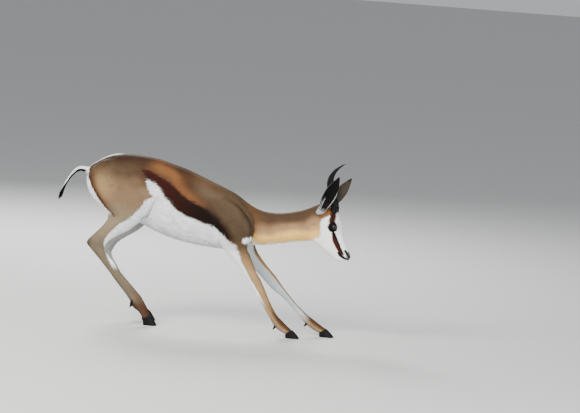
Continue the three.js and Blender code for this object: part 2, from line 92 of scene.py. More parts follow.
# %% Make the camera
PHOTO_WIDTH = 580
MM_PER_PIXEL = 4.0
CAMERA_TURN = math.radians(10)
CAMERA_TILT = math.radians(6)
CAMERA_ROLL = math.radians(4)
CAMERA_DISTANCE = 14.0
SENSOR = 36
FRAME_MIDDLE = (376, 482.24)

right = Vector((math.cos(CAMERA_TURN), math.sin(CAMERA_TURN), 0))
level = Vector((-math.sin(CAMERA_TURN), math.cos(CAMERA_TURN), 0))
ahead = level * math.cos(CAMERA_TILT) - Vector((0, 0, math.sin(CAMERA_TILT)))
up = right.cross(ahead)
image_right = right * math.cos(CAMERA_ROLL) + up * math.sin(CAMERA_ROLL)
image_up = up * math.cos(CAMERA_ROLL) - right * math.sin(CAMERA_ROLL)
target = place(0, 0, 0) + (image_right * FRAME_MIDDLE[0] + image_up * FRAME_MIDDLE[1]) * MM

camera_data = bpy.data.cameras.new("camera")
camera_data.sensor_width = SENSOR
camera_data.lens = SENSOR * CAMERA_DISTANCE / (PHOTO_WIDTH * MM_PER_PIXEL * MM)
camera = bpy.data.objects.new("camera", camera_data)
bpy.context.scene.collection.objects.link(camera)
turned = Matrix((image_right, image_up, -ahead)).transposed().to_4x4()
camera.matrix_world = Matrix.Translation(target - ahead * CAMERA_DISTANCE) @ turned
bpy.context.scene.camera = camera
print("lens", round(camera_data.lens, 1), "mm")

# %% [markdown]
# ## The room
# A pale floor and a pale world, with big soft lamps: a broad one over the camera's left shoulder,
# a weaker one low on the right that lifts the shaded belly, and one behind that draws the back.

# %% Floor and lamps
FLOOR_SIDE = 60
FLOOR_COLOUR = (0.56, 0.56, 0.55, 1)


def lamp(name, spot, aim, side, power, colour=(1, 1, 1)):
    data = bpy.data.lights.new(name, "AREA")
    data.shape = "DISK"
    data.size = side
    data.energy = power
    data.color = colour
    holder = bpy.data.objects.new(name, data)
    bpy.context.scene.collection.objects.link(holder)
    holder.location = spot
    holder.rotation_euler = (Vector(aim) - Vector(spot)).to_track_quat("-Z", "Y").to_euler()


bpy.ops.object.select_all(action="DESELECT")
bpy.ops.mesh.primitive_plane_add(size=FLOOR_SIDE, location=(0, 0, 0))
floor = bpy.context.object
floor.name = "floor"
paint = bpy.data.materials.new("floor_paint")
paint.use_nodes = True
paint.node_tree.nodes["Principled BSDF"].inputs["Base Color"].default_value = FLOOR_COLOUR
paint.node_tree.nodes["Principled BSDF"].inputs["Roughness"].default_value = 0.9
floor.data.materials.append(paint)

lamp("key_lamp", (-2.2, -3.6, 3.4), (0, 0, 0.4), 2.4, 420, (1.0, 0.97, 0.93))
lamp("fill_lamp", (3.0, -3.6, 0.9), (0.1, 0, 0.4), 3.0, 210, (0.93, 0.97, 1.0))
lamp("back_lamp", (-1.6, 3.2, 2.8), (0, 0, 0.5), 1.6, 240)

world = bpy.data.worlds.new("room")
bpy.context.scene.world = world
world.use_nodes = True
world.node_tree.nodes["Background"].inputs["Color"].default_value = (0.86, 0.89, 0.93, 1)
world.node_tree.nodes["Background"].inputs["Strength"].default_value = 0.55

# %% [markdown]
# ## Helpers for meshes
# Every step selects what it works on first, because an operator acts on all that is selected.
# Places of many points are read and written as arrays, which is fast enough for a whole skin.

# %% Select, read and write
def select_only(*pieces):
    bpy.ops.object.select_all(action="DESELECT")
    for piece in pieces:
        piece.select_set(True)
    bpy.context.view_layer.objects.active = pieces[0]


def points_of(piece):
    flat = np.empty(len(piece.data.vertices) * 3)
    piece.data.vertices.foreach_get("co", flat)
    return flat.reshape(-1, 3)


def set_points(piece, points):
    piece.data.vertices.foreach_set("co", np.asarray(points, float).ravel())
    piece.data.update()


def normals_of(piece):
    flat = np.empty(len(piece.data.vertices) * 3)
    piece.data.vertex_normals.foreach_get("vector", flat)
    return flat.reshape(-1, 3)


def unit(vectors):
    return vectors / np.maximum(np.linalg.norm(vectors, axis=-1, keepdims=True), 1e-12)


def smoothstep(low, high, value):
    share = np.clip((value - low) / (high - low), 0, 1)
    return share * share * (3 - 2 * share)


def modify(piece, kind, **settings):
    select_only(piece)
    modifier = piece.modifiers.new(kind.lower(), kind)
    for name, value in settings.items():
        setattr(modifier, name, value)
    bpy.ops.object.modifier_apply(modifier=modifier.name)


def copy_of_node(node, swell=0.0):
    piece = bpy.data.objects.new(f"copy_of_{node}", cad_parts[node].data.copy())
    bpy.context.scene.collection.objects.link(piece)
    select_only(piece)
    bpy.ops.object.mode_set(mode="EDIT")
    bpy.ops.mesh.select_all(action="SELECT")
    bpy.ops.mesh.remove_doubles(threshold=2e-5)
    bpy.ops.object.mode_set(mode="OBJECT")
    if swell:
        modify(piece, "DISPLACE", strength=swell, mid_level=0)
    return piece


def join(name, pieces):
    select_only(*pieces)
    bpy.ops.object.join()
    joined = bpy.context.object
    joined.name = name
    joined.data.name = name
    return joined


def triangles_in(piece):
    return sum(len(face.vertices) - 2 for face in piece.data.polygons)


# %% [markdown]
# ## Curves, and rolled grids
# A run is a smooth curve through a few rows of numbers. A tube is a flat grid that is rolled
# round such a curve: its long edges meet, its ends shrink to a point, and doubles are merged.

# %% Smooth runs and tubes
def smooth_run(rows, steps=8):
    rows = np.array(rows, float)
    padded = np.vstack([2 * rows[0] - rows[1], rows, 2 * rows[-1] - rows[-2]])
    share = np.linspace(0, 1, steps, endpoint=False)[:, None]
    spans = []
    for before, start, end, after in zip(padded, padded[1:], padded[2:], padded[3:]):
        curve = 2 * start + (end - before) * share
        curve += (2 * before - 5 * start + 4 * end - after) * share**2
        curve += (3 * start - before - 3 * end + after) * share**3
        spans.append(curve / 2)
    return np.vstack(spans + [rows[-1:]])


def even_run(rows, count, width=3):
    """count rows spaced evenly by the length of their first columns"""
    run = smooth_run(rows, 16)
    length = np.r_[0, np.cumsum(np.linalg.norm(np.diff(run[:, :width], axis=0), axis=1))]
    stops = np.linspace(0, length[-1], count)
    return np.stack([np.interp(stops, length, column) for column in run.T], -1)


def rolled_grid(name, rings):
    """rings[row, column] are points in metres; the columns close on themselves"""
    rows, columns = rings.shape[:2]
    bpy.ops.object.select_all(action="DESELECT")
    bpy.ops.mesh.primitive_grid_add(x_subdivisions=columns, y_subdivisions=rows - 1)
    piece = bpy.context.object
    piece.name = name
    piece.data.name = name
    set_points(piece, np.concatenate([rings, rings[:, :1]], axis=1).reshape(-1, 3))
    bpy.ops.object.mode_set(mode="EDIT")
    bpy.ops.mesh.select_all(action="SELECT")
    bpy.ops.mesh.remove_doubles(threshold=1e-6)
    bpy.ops.mesh.normals_make_consistent(inside=False)
    bpy.ops.object.mode_set(mode="OBJECT")
    return piece


def frames_along(path):
    """a tangent and two steady side directions at each point of a path"""
    tangents = unit(np.gradient(path, axis=0))
    side = unit(np.cross(tangents[0], [0.31, 0.95, 0.05]))
    sides = []
    for tangent in tangents:
        side = unit(side - tangent * (side @ tangent))
        sides.append(side)
    sides = np.array(sides)
    return tangents, sides, np.cross(tangents, sides)


def tube(name, path, radii, around=16):
    _, sides, others = frames_along(path)
    angle = np.linspace(0, 2 * np.pi, around, endpoint=False)
    ring = np.cos(angle)[None, :, None] * sides[:, None]
    ring = ring + np.sin(angle)[None, :, None] * others[:, None]
    return rolled_grid(name, path[:, None] + ring * radii[:, None, None])


# %% [markdown]
# ## The body's runs
# Each part of the body is described by rungs, seen from the side: the lower or rear edge and then
# the upper or front edge. They tell, for any point of the skin, how far along the part it is,
# how far across, and which way the part runs there. Markings and hair both follow them.

# %% Runs of the body
RUNGS = {
    "torso": [
        (-474, 566, -479, 601), (-462, 528, -465, 618), (-405, 452, -405, 655), (-310, 402, -305, 672),
        (-203, 376, -190, 661), (-95, 343, -75, 629), (30, 328, 40, 584), (135, 330, 125, 549),
        (207, 357, 193, 507),
    ],
    "neck": [
        (165, 342, 150, 533), (252, 353, 242, 489), (360, 374, 350, 494), (452, 388, 442, 526),
        (480, 400, 470, 534),
    ],
    "head": [
        (455, 385, 514, 527), (480, 366, 552, 483), (511, 344, 571, 419), (541, 325, 594, 366),
        (583, 321, 602, 328),
    ],
    "hindleg_right": [
        (-474, 566, -232, 574), (-444, 492, -193, 484), (-374, 427, -240, 411), (-434, 338, -366, 321),
        (-446, 296, -376, 281), (-391, 238, -340, 240), (-306, 148, -273, 166), (-255, 88, -219, 112),
        (-203, 24, -176, 41),
    ],
    "hindleg_left": [
        (-474, 566, -232, 574), (-436, 484, -185, 476), (-366, 413, -232, 397), (-434, 312, -366, 295),
        (-456, 268, -386, 253), (-409, 206, -358, 208), (-332, 117, -299, 135), (-287, 66, -251, 90),
        (-239, 24, -212, 41),
    ],
    "foreleg_right": [
        (50, 462, 168, 490), (80, 388, 212, 414), (134, 301, 209, 318), (211, 215, 257, 226),
        (282, 109, 313, 121), (328, 40, 361, 64), (374, 15, 398, 33),
    ],
    "foreleg_left": [
        (56, 462, 172, 490), (96, 386, 214, 410), (164, 281, 216, 318), (265, 192, 298, 226),
        (368, 110, 388, 124), (432, 46, 462, 66), (489, 15, 514, 33),
    ],
}


POINTS_AT_ONCE = 20000
STAY_NEAR = 0.05


class Run:
    """a part of the body as a line from rung to rung"""

    def __init__(self, rungs):
        rows = smooth_run(rungs)
        low, high = rows[:, :2], rows[:, 2:]
        self.middle = (low + high) / 2
        self.rise = unit(high - low)
        self.half = np.linalg.norm(high - low, axis=1) / 2
        self.ahead = unit(np.gradient(self.middle, axis=0))
        steps = np.linalg.norm(np.diff(self.middle, axis=0), axis=1)
        self.length = np.r_[0, np.cumsum(steps)]

    def locate(self, points):
        """for points in sizes: share along, share across from -1 to 1, and the direction ahead"""
        flat = points[:, [0, 2]]
        along = np.empty(len(flat))
        across = np.empty(len(flat))
        nearest = np.empty(len(flat), int)
        for start in range(0, len(flat), POINTS_AT_ONCE):
            some = slice(start, start + POINTS_AT_ONCE)
            gap = flat[some, None] - self.middle[None]
            lengthwise = (gap * self.ahead).sum(-1)
            score = lengthwise**2 + STAY_NEAR * (gap**2).sum(-1)
            pick = score.argmin(1)
            rows = np.arange(len(pick))
            nearest[some] = pick
            along[some] = (self.length[pick] + lengthwise[rows, pick]) / self.length[-1]
            across[some] = (gap[rows, pick] * self.rise[pick]).sum(-1) / self.half[pick]
        return along, across, self.ahead[nearest]


RUNS = {part: Run(rungs) for part, rungs in RUNGS.items()}
PARTS = list(RUNGS)
LEGS = [part for part in PARTS if "leg" in part]
print("runs", {part: round(run.length[-1]) for part, run in RUNS.items()})

# %% [markdown]
# ## Which side of a curve
# Markings, folds and fringes all follow curves drawn on the side view. One measure serves them: how
# far a point lies from the curve, and on which side. At a bend two pieces of the curve are equally
# near, so there the side is judged by the mean of their directions.

# %% Distance from a curve
FAR = 1e9


def side_of_curve(points, rows):
    """distance in mm from points to a curve seen from the side, positive on its left as it is walked"""
    curve = smooth_run(rows, 4)
    steps = np.diff(curve, axis=0)
    ways = unit(steps)
    flat = points[:, [0, 2]]
    best = np.full(len(flat), FAR)
    signed = np.zeros(len(flat))
    for index, (start, step) in enumerate(zip(curve, steps)):
        raw = ((flat - start) @ step) / (step @ step)
        share = np.clip(raw, 0, 1)
        gap = flat - start - share[:, None] * step
        distance = np.linalg.norm(gap, axis=1)
        way = np.tile(ways[index], (len(flat), 1))
        way[raw < 0] += ways[max(index - 1, 0)]
        way[raw > 1] += ways[min(index + 1, len(ways) - 1)]
        sign = np.where(way[:, 0] * gap[:, 1] - way[:, 1] * gap[:, 0] < 0, -1, 1)
        closer = distance < best - 1e-6
        best[closer] = distance[closer]
        signed[closer] = (distance * sign)[closer]
    return signed


# %% [markdown]
# ## The skin
# A real animal has one skin. Here copies of the fleshy solids are swollen by a hair so that they
# meet, joined, and turned into one even net by a voxel remesh. A smooth modifier then takes
# the facets away, much on the barrel and little on the thin legs and the face.

# %% One skin over the flesh
SWELL = 0.0005
EYE_SWELL = 0.0007
VOXEL = 0.0022
DOCK = [(-440, 580, 16), (-462, 588, 14), (-488, 593, 11.5), (-510, 594, 8.5), (-530, 585, 6.5),
        (-548, 567, 5), (-563, 545, 4), (-573, 524, 3), (-578, 510, 2)]
DOCK_ROWS = 40

copies = [copy_of_node(node, SWELL) for node in PARTS]
copies += [copy_of_node(node, EYE_SWELL) for node in ("eye_right", "eye_left")]
dock_run = even_run([(x, 0, z, radius) for x, z, radius in DOCK], DOCK_ROWS)
dock_radii = dock_run[:, 3] * MM
dock_radii[[0, -1]] = 0
copies.append(tube("dock", to_metres(dock_run[:, :3]), dock_radii))
skin = join("springbok_skin", copies)
skin.data.remesh_voxel_size = VOXEL
skin.data.use_remesh_fix_poles = False
select_only(skin)
bpy.ops.object.voxel_remesh()
print("skin", len(skin.data.vertices), "points")

# %% [markdown]
# ## Which part a point belongs to
# The skin has no seams, so it no longer knows its parts. The nearest face of the solid model tells
# them, and a tree of all its faces finds it fast.

# %% Which part each point of the skin belongs to
corners_so_far, solid_points, solid_faces, owners = 0, [], [], []
for node in PARTS:
    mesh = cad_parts[node].data
    solid_points += [corner.co.copy() for corner in mesh.vertices]
    solid_faces += [[corners_so_far + index for index in face.vertices] for face in mesh.polygons]
    owners += [PARTS.index(node)] * len(mesh.polygons)
    corners_so_far += len(mesh.vertices)
solid = BVHTree.FromPolygons(solid_points, solid_faces)
owners = np.array(owners)
TORSO, NECK, HEAD = (PARTS.index(part) for part in ("torso", "neck", "head"))


def part_of(points):
    return owners[[solid.find_nearest(point)[2] for point in points]]


def along_and_across(sizes, parts):
    along, across = np.zeros(len(sizes)), np.zeros(len(sizes))
    ahead = np.zeros((len(sizes), 3))
    for index, part in enumerate(PARTS):
        chosen = parts == index
        if chosen.any():
            found = RUNS[part].locate(sizes[chosen])
            along[chosen], across[chosen] = found[:2]
            ahead[chosen, 0], ahead[chosen, 2] = found[2].T
    return along, across, ahead


# %% [markdown]
# ## Smoothing
# The voxels leave small steps and the solid model leaves facets. A smooth modifier removes both, and
# a vertex group says how much: fully on the barrel, half on the neck, hardly on legs and head,
# which would grow thinner.

# %% Smooth the facets away
SMOOTH_ROUNDS = 90
WEIGHT_STEPS = 20
LEAST_SMOOTH = 0.1
NECK_SMOOTH = 0.6
HEAD_STARTS = 462


def weigh(piece, name, weights):
    group = piece.vertex_groups.new(name=name)
    steps = np.round(weights * WEIGHT_STEPS).astype(int)
    for step in np.unique(steps):
        group.add(np.flatnonzero(steps == step).tolist(), step / WEIGHT_STEPS, "REPLACE")
    return group.name


skin_sizes = to_sizes(points_of(skin))
height, ahead_x = skin_sizes[:, 2], skin_sizes[:, 0]
barrel = smoothstep(300, 430, height) * (1 - smoothstep(180, 320, ahead_x))
barrel *= smoothstep(-500, -470, ahead_x)
neck_share = smoothstep(180, 320, ahead_x) * (1 - smoothstep(430, 470, ahead_x))
weights = np.maximum(np.maximum(barrel, NECK_SMOOTH * neck_share), LEAST_SMOOTH)
weights[ahead_x > HEAD_STARTS] = LEAST_SMOOTH
modify(skin, "SMOOTH", factor=0.5, iterations=SMOOTH_ROUNDS, vertex_group=weigh(skin, "soft", weights))
skin.vertex_groups.clear()
print("smoothed", len(skin.data.vertices), "points")

# %% [markdown]
# ## Where the points go
# A piece may hold fewer than 200,000 triangles. The trunk is large and plain, so it is thinned most,
# the legs less, and the head and the tail keep every point. Decimate in edit mode works on the
# selected faces alone, which keeps the net even inside each region.

# %% Spend the points where they are needed
HEAD_FROM = 466
TAIL_BEHIND = -490
TRUNK_LOW = 330
TRUNK_SHARE, LEG_SHARE = 0.185, 0.27


def faces_inside(piece, mask):
    """a mask of the triangles of a piece whose corners are all in a mask of its points"""
    faces = np.empty(len(piece.data.polygons) * 3, np.int32)
    piece.data.polygons.foreach_get("vertices", faces)
    return mask[faces.reshape(-1, 3)].all(1)


def edit_faces(piece, chosen, action):
    select_only(piece)
    bpy.ops.object.mode_set(mode="EDIT")
    bpy.ops.mesh.select_mode(type="FACE")
    bpy.ops.mesh.select_all(action="DESELECT")
    bpy.ops.object.mode_set(mode="OBJECT")
    piece.data.polygons.foreach_set("select", chosen)
    bpy.ops.object.mode_set(mode="EDIT")
    action()
    bpy.ops.mesh.select_all(action="SELECT")
    bpy.ops.mesh.quads_convert_to_tris()
    bpy.ops.object.mode_set(mode="OBJECT")


modify(skin, "TRIANGULATE")
for low, high, ratio in ((TRUNK_LOW, FAR, TRUNK_SHARE), (-FAR, TRUNK_LOW, LEG_SHARE)):
    skin_sizes = to_sizes(points_of(skin))
    chosen = (skin_sizes[:, 2] >= low) & (skin_sizes[:, 2] < high)
    chosen &= (skin_sizes[:, 0] < HEAD_FROM) & (skin_sizes[:, 0] > TAIL_BEHIND)
    edit_faces(skin, faces_inside(skin, chosen), lambda: bpy.ops.mesh.decimate(ratio=ratio))
    print("thinned to", triangles_in(skin), "triangles")

# %% [markdown]
# ## A finer net on the face
# Lids, nostrils and lips are only a few millimetres wide, so the net is split once more round the
# eyes and on the snout before they are drawn.

# %% A finer net round the eyes and on the snout
SNOUT_FROM = 556
SNOUT_LOW = 300
EYE_REGION = (537, 34, 455)
FINE_ROUND_EYE = 30

skin_sizes = to_sizes(points_of(skin))
chosen = (skin_sizes[:, 0] > SNOUT_FROM) & (skin_sizes[:, 2] > SNOUT_LOW)
for side in (RIGHT, LEFT):
    eye_spot = np.array(EYE_REGION) * (1, side, 1)
    chosen |= np.linalg.norm(skin_sizes - eye_spot, axis=1) < FINE_ROUND_EYE
split = faces_inside(skin, chosen)
edit_faces(skin, split, lambda: bpy.ops.mesh.subdivide(number_cuts=1, smoothness=0.6))
print("skin now", triangles_in(skin), "triangles")

# %% [markdown]
# ## The turn of the head
# The head is turned a little to the animal's right at the atlas, its first neck bone. The face is
# easier to draw on a straight head, so points are turned back, shaped, and turned again.

# %% Turn and straighten
HEAD_TURN = math.radians(5)
ATLAS = 480
ATLAS_SPOT = np.array([ATLAS, 0, 0])


def turn_head(points):
    """sizes on the straight head to sizes on the head as it is turned"""
    points = np.asarray(points, float)
    offset = points - ATLAS_SPOT
    x = offset[..., 0] * math.cos(HEAD_TURN) + offset[..., 1] * math.sin(HEAD_TURN)
    y = offset[..., 1] * math.cos(HEAD_TURN) - offset[..., 0] * math.sin(HEAD_TURN)
    return np.stack([x + ATLAS, y, offset[..., 2]], -1)


def straighten_head(points):
    offset = np.asarray(points, float) - ATLAS_SPOT
    x = offset[..., 0] * math.cos(HEAD_TURN) - offset[..., 1] * math.sin(HEAD_TURN)
    y = offset[..., 1] * math.cos(HEAD_TURN) + offset[..., 0] * math.sin(HEAD_TURN)
    return np.stack([x + ATLAS, y, offset[..., 2]], -1)


def turn_ways(ways):
    return turn_head(ways + ATLAS_SPOT) - ATLAS_SPOT


def head_side(points):
    """which half of the turned head each point is on"""
    return np.sign(points[:, 1] + (points[:, 0] - ATLAS) * math.tan(HEAD_TURN))


print("head turned", round(math.degrees(HEAD_TURN)), "degrees")

# %% [markdown]
# ## Sockets and lids
# The head gets the most care. The eyeball sits in a socket, and the lids are drawn by moving skin
# points towards or away from the eye's centre: inside the almond they sink behind the ball, at its
# edge they stand on the ball by a lid's thickness, and further out they keep their own place.

# %% Sockets and lids
EYE_BALL = 15.5
EYE_AT = (540, 30, 455)
LID = 2.0
LID_SINKS = 4.5
LID_FOLD = 0.9
LID_FOLD_AT = 7
LID_BLENDS = 2.5, 8.5
EYE_REACH = 34
EYE_HALF_LENGTH = 14.5
EYE_HALF_HEIGHT = 10.5
EYE_SLANT = math.radians(56)
EYE_FACES = (0.04, 1.0, 0.05)


def eye_centre(side):
    return np.array(EYE_AT) * (1.0, side, 1.0)


def eye_axes(side):
    """outwards, along the slit and across it, for a straight head"""
    outwards = unit(np.array(EYE_FACES) * (1, side, 1))
    slit = np.array([math.cos(EYE_SLANT), 0, -math.sin(EYE_SLANT)])
    slit = unit(slit - outwards * (slit @ outwards))
    return outwards, slit, np.cross(outwards, slit) * side


def lid_distance(along, across):
    """distance in mm from the edge of the almond, negative inside it"""
    reach = EYE_HALF_HEIGHT * (1 - np.clip(np.abs(along) / EYE_HALF_LENGTH, 0, 1) ** 2)
    past_corner = np.maximum(np.abs(along) - EYE_HALF_LENGTH, 0)
    return np.hypot(np.abs(across) - reach * (past_corner == 0), past_corner) * np.sign(
        np.where(past_corner > 0, 1, np.abs(across) - reach))


face = straighten_head(to_sizes(points_of(skin)))
for side in (RIGHT, LEFT):
    centre = eye_centre(side)
    outwards, slit, lift = eye_axes(side)
    offset = face - centre
    reach = np.linalg.norm(offset, axis=1)
    near = (reach < EYE_REACH) & (offset @ outwards > 2)
    edge = lid_distance(offset @ slit, offset @ lift)
    lid_surface = EYE_BALL + LID * smoothstep(-1.2, 0.8, edge)
    lid_surface -= LID_SINKS * (1 - smoothstep(-2.2, -0.6, edge))
    crease = LID_FOLD * np.exp(-((edge - LID_FOLD_AT) / 1.6) ** 2)
    keep = smoothstep(*LID_BLENDS, edge)
    wanted = np.where(edge < LID_BLENDS[0], lid_surface, np.minimum(reach, lid_surface + keep * 60))
    wanted = (1 - keep) * wanted + keep * reach - crease
    face[near] = centre + offset[near] * (wanted / np.maximum(reach, 1e-6))[near, None]
print("lids drawn from", int(near.sum()), "points on a side")

# %% [markdown]
# ## Nostrils and lips
# The nostril is a slanting slot on each side of the nose, and the lips meet in a groove that runs
# from under the nose back to the corner of the mouth. Both are curves on the straight head's side,
# and skin points near them sink along their normals, less towards the ends.

# %% Nostrils and lips
NOSTRIL = [(587, 362), (595, 349), (603, 337)]
MOUTH = [(559, 353), (569, 344), (580, 337), (597, 330), (607, 329)]


def groove(points, rows, width, depth, least_out):
    curve = smooth_run(rows, 6)
    flat = points[:, [0, 2]]
    distance = np.full(len(flat), FAR)
    share_there = np.zeros(len(flat))
    for index, (start, end) in enumerate(zip(curve, curve[1:])):
        step = end - start
        share = np.clip(((flat - start) @ step) / (step @ step), 0, 1)
        gap = np.linalg.norm(flat - start - share[:, None] * step, axis=1)
        closer = gap < distance
        distance[closer] = gap[closer]
        share_there[closer] = (index + share[closer]) / (len(curve) - 1)
    fade = np.clip(np.minimum(share_there, 1 - share_there) * 5, 0.25, 1)
    dip = depth * np.exp(-(distance / width) ** 2) * fade
    return np.where(np.abs(points[:, 1]) > least_out, dip, 0)


set_points(skin, to_metres(turn_head(face)))
skin_normals = normals_of(skin)
snout = (face[:, 0] > 540) & (face[:, 2] < 385) & (face[:, 2] > 300)
dips = groove(face, NOSTRIL, 2.0, 5.5, 6) + groove(face, MOUTH, 1.3, 2.6, -1)
moved = points_of(skin)
moved[snout] -= skin_normals[snout] * (dips[snout] * MM)[:, None]
set_points(skin, moved)
bpy.ops.object.select_all(action="DESELECT")
print("face points", int(snout.sum()))

# %% [markdown]
# ## Bones and folds under the skin
# A few soft bulges and creases finish the skin: tendons behind the cannons, the fold where the
# thigh meets the flank, and the edge of the shoulder. Each is a curve on the side view with a
# width and a height, and skin points near it move along their normals. The whole skin then sinks
# by the depth of the hair, so that the coat ends where the solid model does.

# %% Folds and tendons
FOLDS = [
    ("flank fold", [(-180, 514), (-182, 501), (-198, 467), (-213, 436), (-238, 422)], 6, -6.0, 48),
    ("shoulder edge", [(165, 517), (192, 492), (212, 466), (221, 438), (220, 409), (213, 379)], 8, -3.0, 34),
    ("shoulder hollow", [(96, 530), (121, 520), (149, 500), (176, 474), (198, 444), (209, 412)], 9, 2.2, 34),
    ("hamstring", [(-452, 560), (-430, 500), (-395, 452)], 10, -3.0, 30),
    ("elbow", [(88, 366), (104, 350)], 12, 3.5, 40),
]
CANNONS = {"hindleg": (0.6, 0.86), "foreleg": (0.56, 0.84)}
CANNON_FADE = 0.06
TENDON_DEPTH = 1.8
HAIR_ON_BODY, HAIR_ON_HEAD, HAIR_ON_LEGS = 1.2, 0.4, 0.6


def near_curve(points, rows, width):
    distance = np.abs(side_of_curve(points, rows))
    return np.exp(-(distance / width) ** 2)


skin_sizes = to_sizes(points_of(skin))
skin_normals = normals_of(skin)
shift_out = np.zeros(len(skin_sizes))
for _, rows, width, height_out, least_out in FOLDS:
    sides = smoothstep(least_out - 8, least_out + 8, np.abs(skin_sizes[:, 1]))
    shift_out += near_curve(skin_sizes, rows, width) * height_out * sides

skin_parts = part_of(points_of(skin))
leg_along, leg_across, _ = along_and_across(skin_sizes, skin_parts)
for part in LEGS:
    start, end = CANNONS[part.split("_")[0]]
    on_cannon = (skin_parts == PARTS.index(part)) * smoothstep(start, start + CANNON_FADE, leg_along)
    on_cannon *= 1 - smoothstep(end - CANNON_FADE, end, leg_along)
    shift_out -= TENDON_DEPTH * on_cannon * np.exp(-((leg_across + 0.25) / 0.22) ** 2)
hair_room = np.full(len(skin_parts), HAIR_ON_BODY)
hair_room[skin_parts == HEAD] = HAIR_ON_HEAD
hair_room[np.isin(skin_parts, [PARTS.index(part) for part in LEGS])] = HAIR_ON_LEGS
set_points(skin, points_of(skin) + skin_normals * ((shift_out - hair_room) * MM)[:, None])
select_only(skin)
bpy.ops.object.shade_smooth()
print("folds", len(FOLDS))

# %% [markdown]
# ## Ears
# A springbok's ear is a long leaf-shaped cup, rolled into a tube at its root. Its outline comes from
# the same few widths as the solid one. The cross-section is a crescent: a back, a
# hollow and a thin rolled rim, and two low ribs run up the hollow.

# %% Ears
EAR_ROOT = (480, 36, 510)
EAR_TIPS = {RIGHT: (558, 84, 656), LEFT: (566, 84, 640)}
EAR_WIDTHS = [0.55, 0.7, 0.93, 1, 0.9, 0.58, 0.1]
EAR_DEPTHS = [0.6, 0.62, 0.56, 0.46, 0.36, 0.24, 0.06]
EAR_HALF_WIDTH = 25
EAR_BOW = 4
EAR_WALL = 2.4
EAR_RIM = 1.3
EAR_CURL = 1.6
EAR_FACES = (0.25, 1.0, -0.1)
EAR_ROWS = 36
EAR_BACK_COLUMNS = 16


def ear_frame(side):
    """its root, its tip, and the ways along it, out of its back and across it"""
    mirror = np.array([1.0, side, 1.0])
    root, tip = EAR_ROOT * mirror, EAR_TIPS[side] * mirror
    axis = unit(tip - root)
    outwards = EAR_FACES * mirror
    outwards = unit(outwards - axis * (outwards @ axis))
    return root, tip, axis, outwards, np.cross(axis, outwards)


def ear_surface(side, share, angle, wall):
    """a point of the ear in sizes on the straight head; wall is 0 on its back, 1 in its hollow"""
    root, tip, _, outwards, across = ear_frame(side)
    profile = smooth_run(np.stack([EAR_WIDTHS, EAR_DEPTHS], -1), 24)
    stops = np.linspace(0, 1, len(profile))
    width = np.interp(share, stops, profile[:, 0]) * EAR_HALF_WIDTH
    depth = np.interp(share, stops, profile[:, 1]) * EAR_HALF_WIDTH
    opened = smoothstep(0.02, 0.3, share)
    hollow = depth - EAR_WALL * np.minimum(1, 8 * (1 - share)) - (1 - opened) * depth * 1.3
    deep = np.where(wall > 0.5, hollow, depth)
    ribs = 1.1 * np.exp(-((np.cos(angle) - 0.35) / 0.1) ** 2)
    ribs = ribs + 0.9 * np.exp(-((np.cos(angle) + 0.2) / 0.09) ** 2)
    ribs = np.where(wall > 0.5, ribs, 0) * opened * (1 - share)
    middle = root + (tip - root) * share[..., None]
    inset = np.where(wall > 0.5, EAR_RIM, 0)
    flat = np.cos(angle) * np.maximum(width - inset, 0.2)
    curl = EAR_CURL * np.abs(np.cos(angle)) ** 6 * np.sin(np.pi * share)
    out = -np.sin(angle) * deep + ribs + curl + EAR_BOW * np.sin(np.pi * share)
    return middle + flat[..., None] * across + out[..., None] * outwards


def make_ear(side, name):
    shares = np.r_[-0.1, np.linspace(0, 1, EAR_ROWS)]
    back = np.linspace(0, np.pi, EAR_BACK_COLUMNS)
    angle = np.r_[back, np.linspace(np.pi, 0, EAR_BACK_COLUMNS)[1:-1]]
    wall = np.r_[np.zeros(EAR_BACK_COLUMNS), np.ones(EAR_BACK_COLUMNS - 2)]
    grid_share, grid_angle = np.meshgrid(shares, angle, indexing="ij")
    rings = ear_surface(side, grid_share, grid_angle, np.broadcast_to(wall, grid_share.shape))
    ends = [np.broadcast_to(ring.mean(0), rings[:1].shape) for ring in (rings[0], rings[-1])]
    rings = np.concatenate([ends[0], rings, ends[1]])
    piece = rolled_grid(name, to_metres(turn_head(rings)))
    modify(piece, "SUBSURF", levels=1, render_levels=1)
    return piece


ears = [make_ear(RIGHT, "ear_cup_right"), make_ear(LEFT, "ear_cup_left")]
ear_start = len(skin.data.vertices)
skin = join("springbok_skin", [skin] + ears)
select_only(skin)
bpy.ops.object.shade_smooth()
modify(skin, "TRIANGULATE")
print("skin with ears", triangles_in(skin), "triangles")

# %% [markdown]
# ## Horns
# A ewe's horns are slim, stand close together and lean back in an S before the tips turn forward.
# They are horn sheaths, ringed on the lower two thirds. A tube with fine rings along one curve
# gives each ring a steep upper edge, as on the real horn.

# %% Horns
HORN = [(520, 481, 14), (522, 490, 15), (529, 519, 17), (525, 545, 19), (516, 572, 21), (506, 600, 23),
        (502, 628, 24), (508, 655, 23), (526, 681, 21), (556, 704, 17)]
HORN_STEPS = 330
HORN_AROUND = 28
HORN_RADIUS = 13
HORN_TAPER = 0.93
RING_PITCH = 12.5
RING_HEIGHT = 1.5
RING_RISES = 0.75
RINGED = 0.66


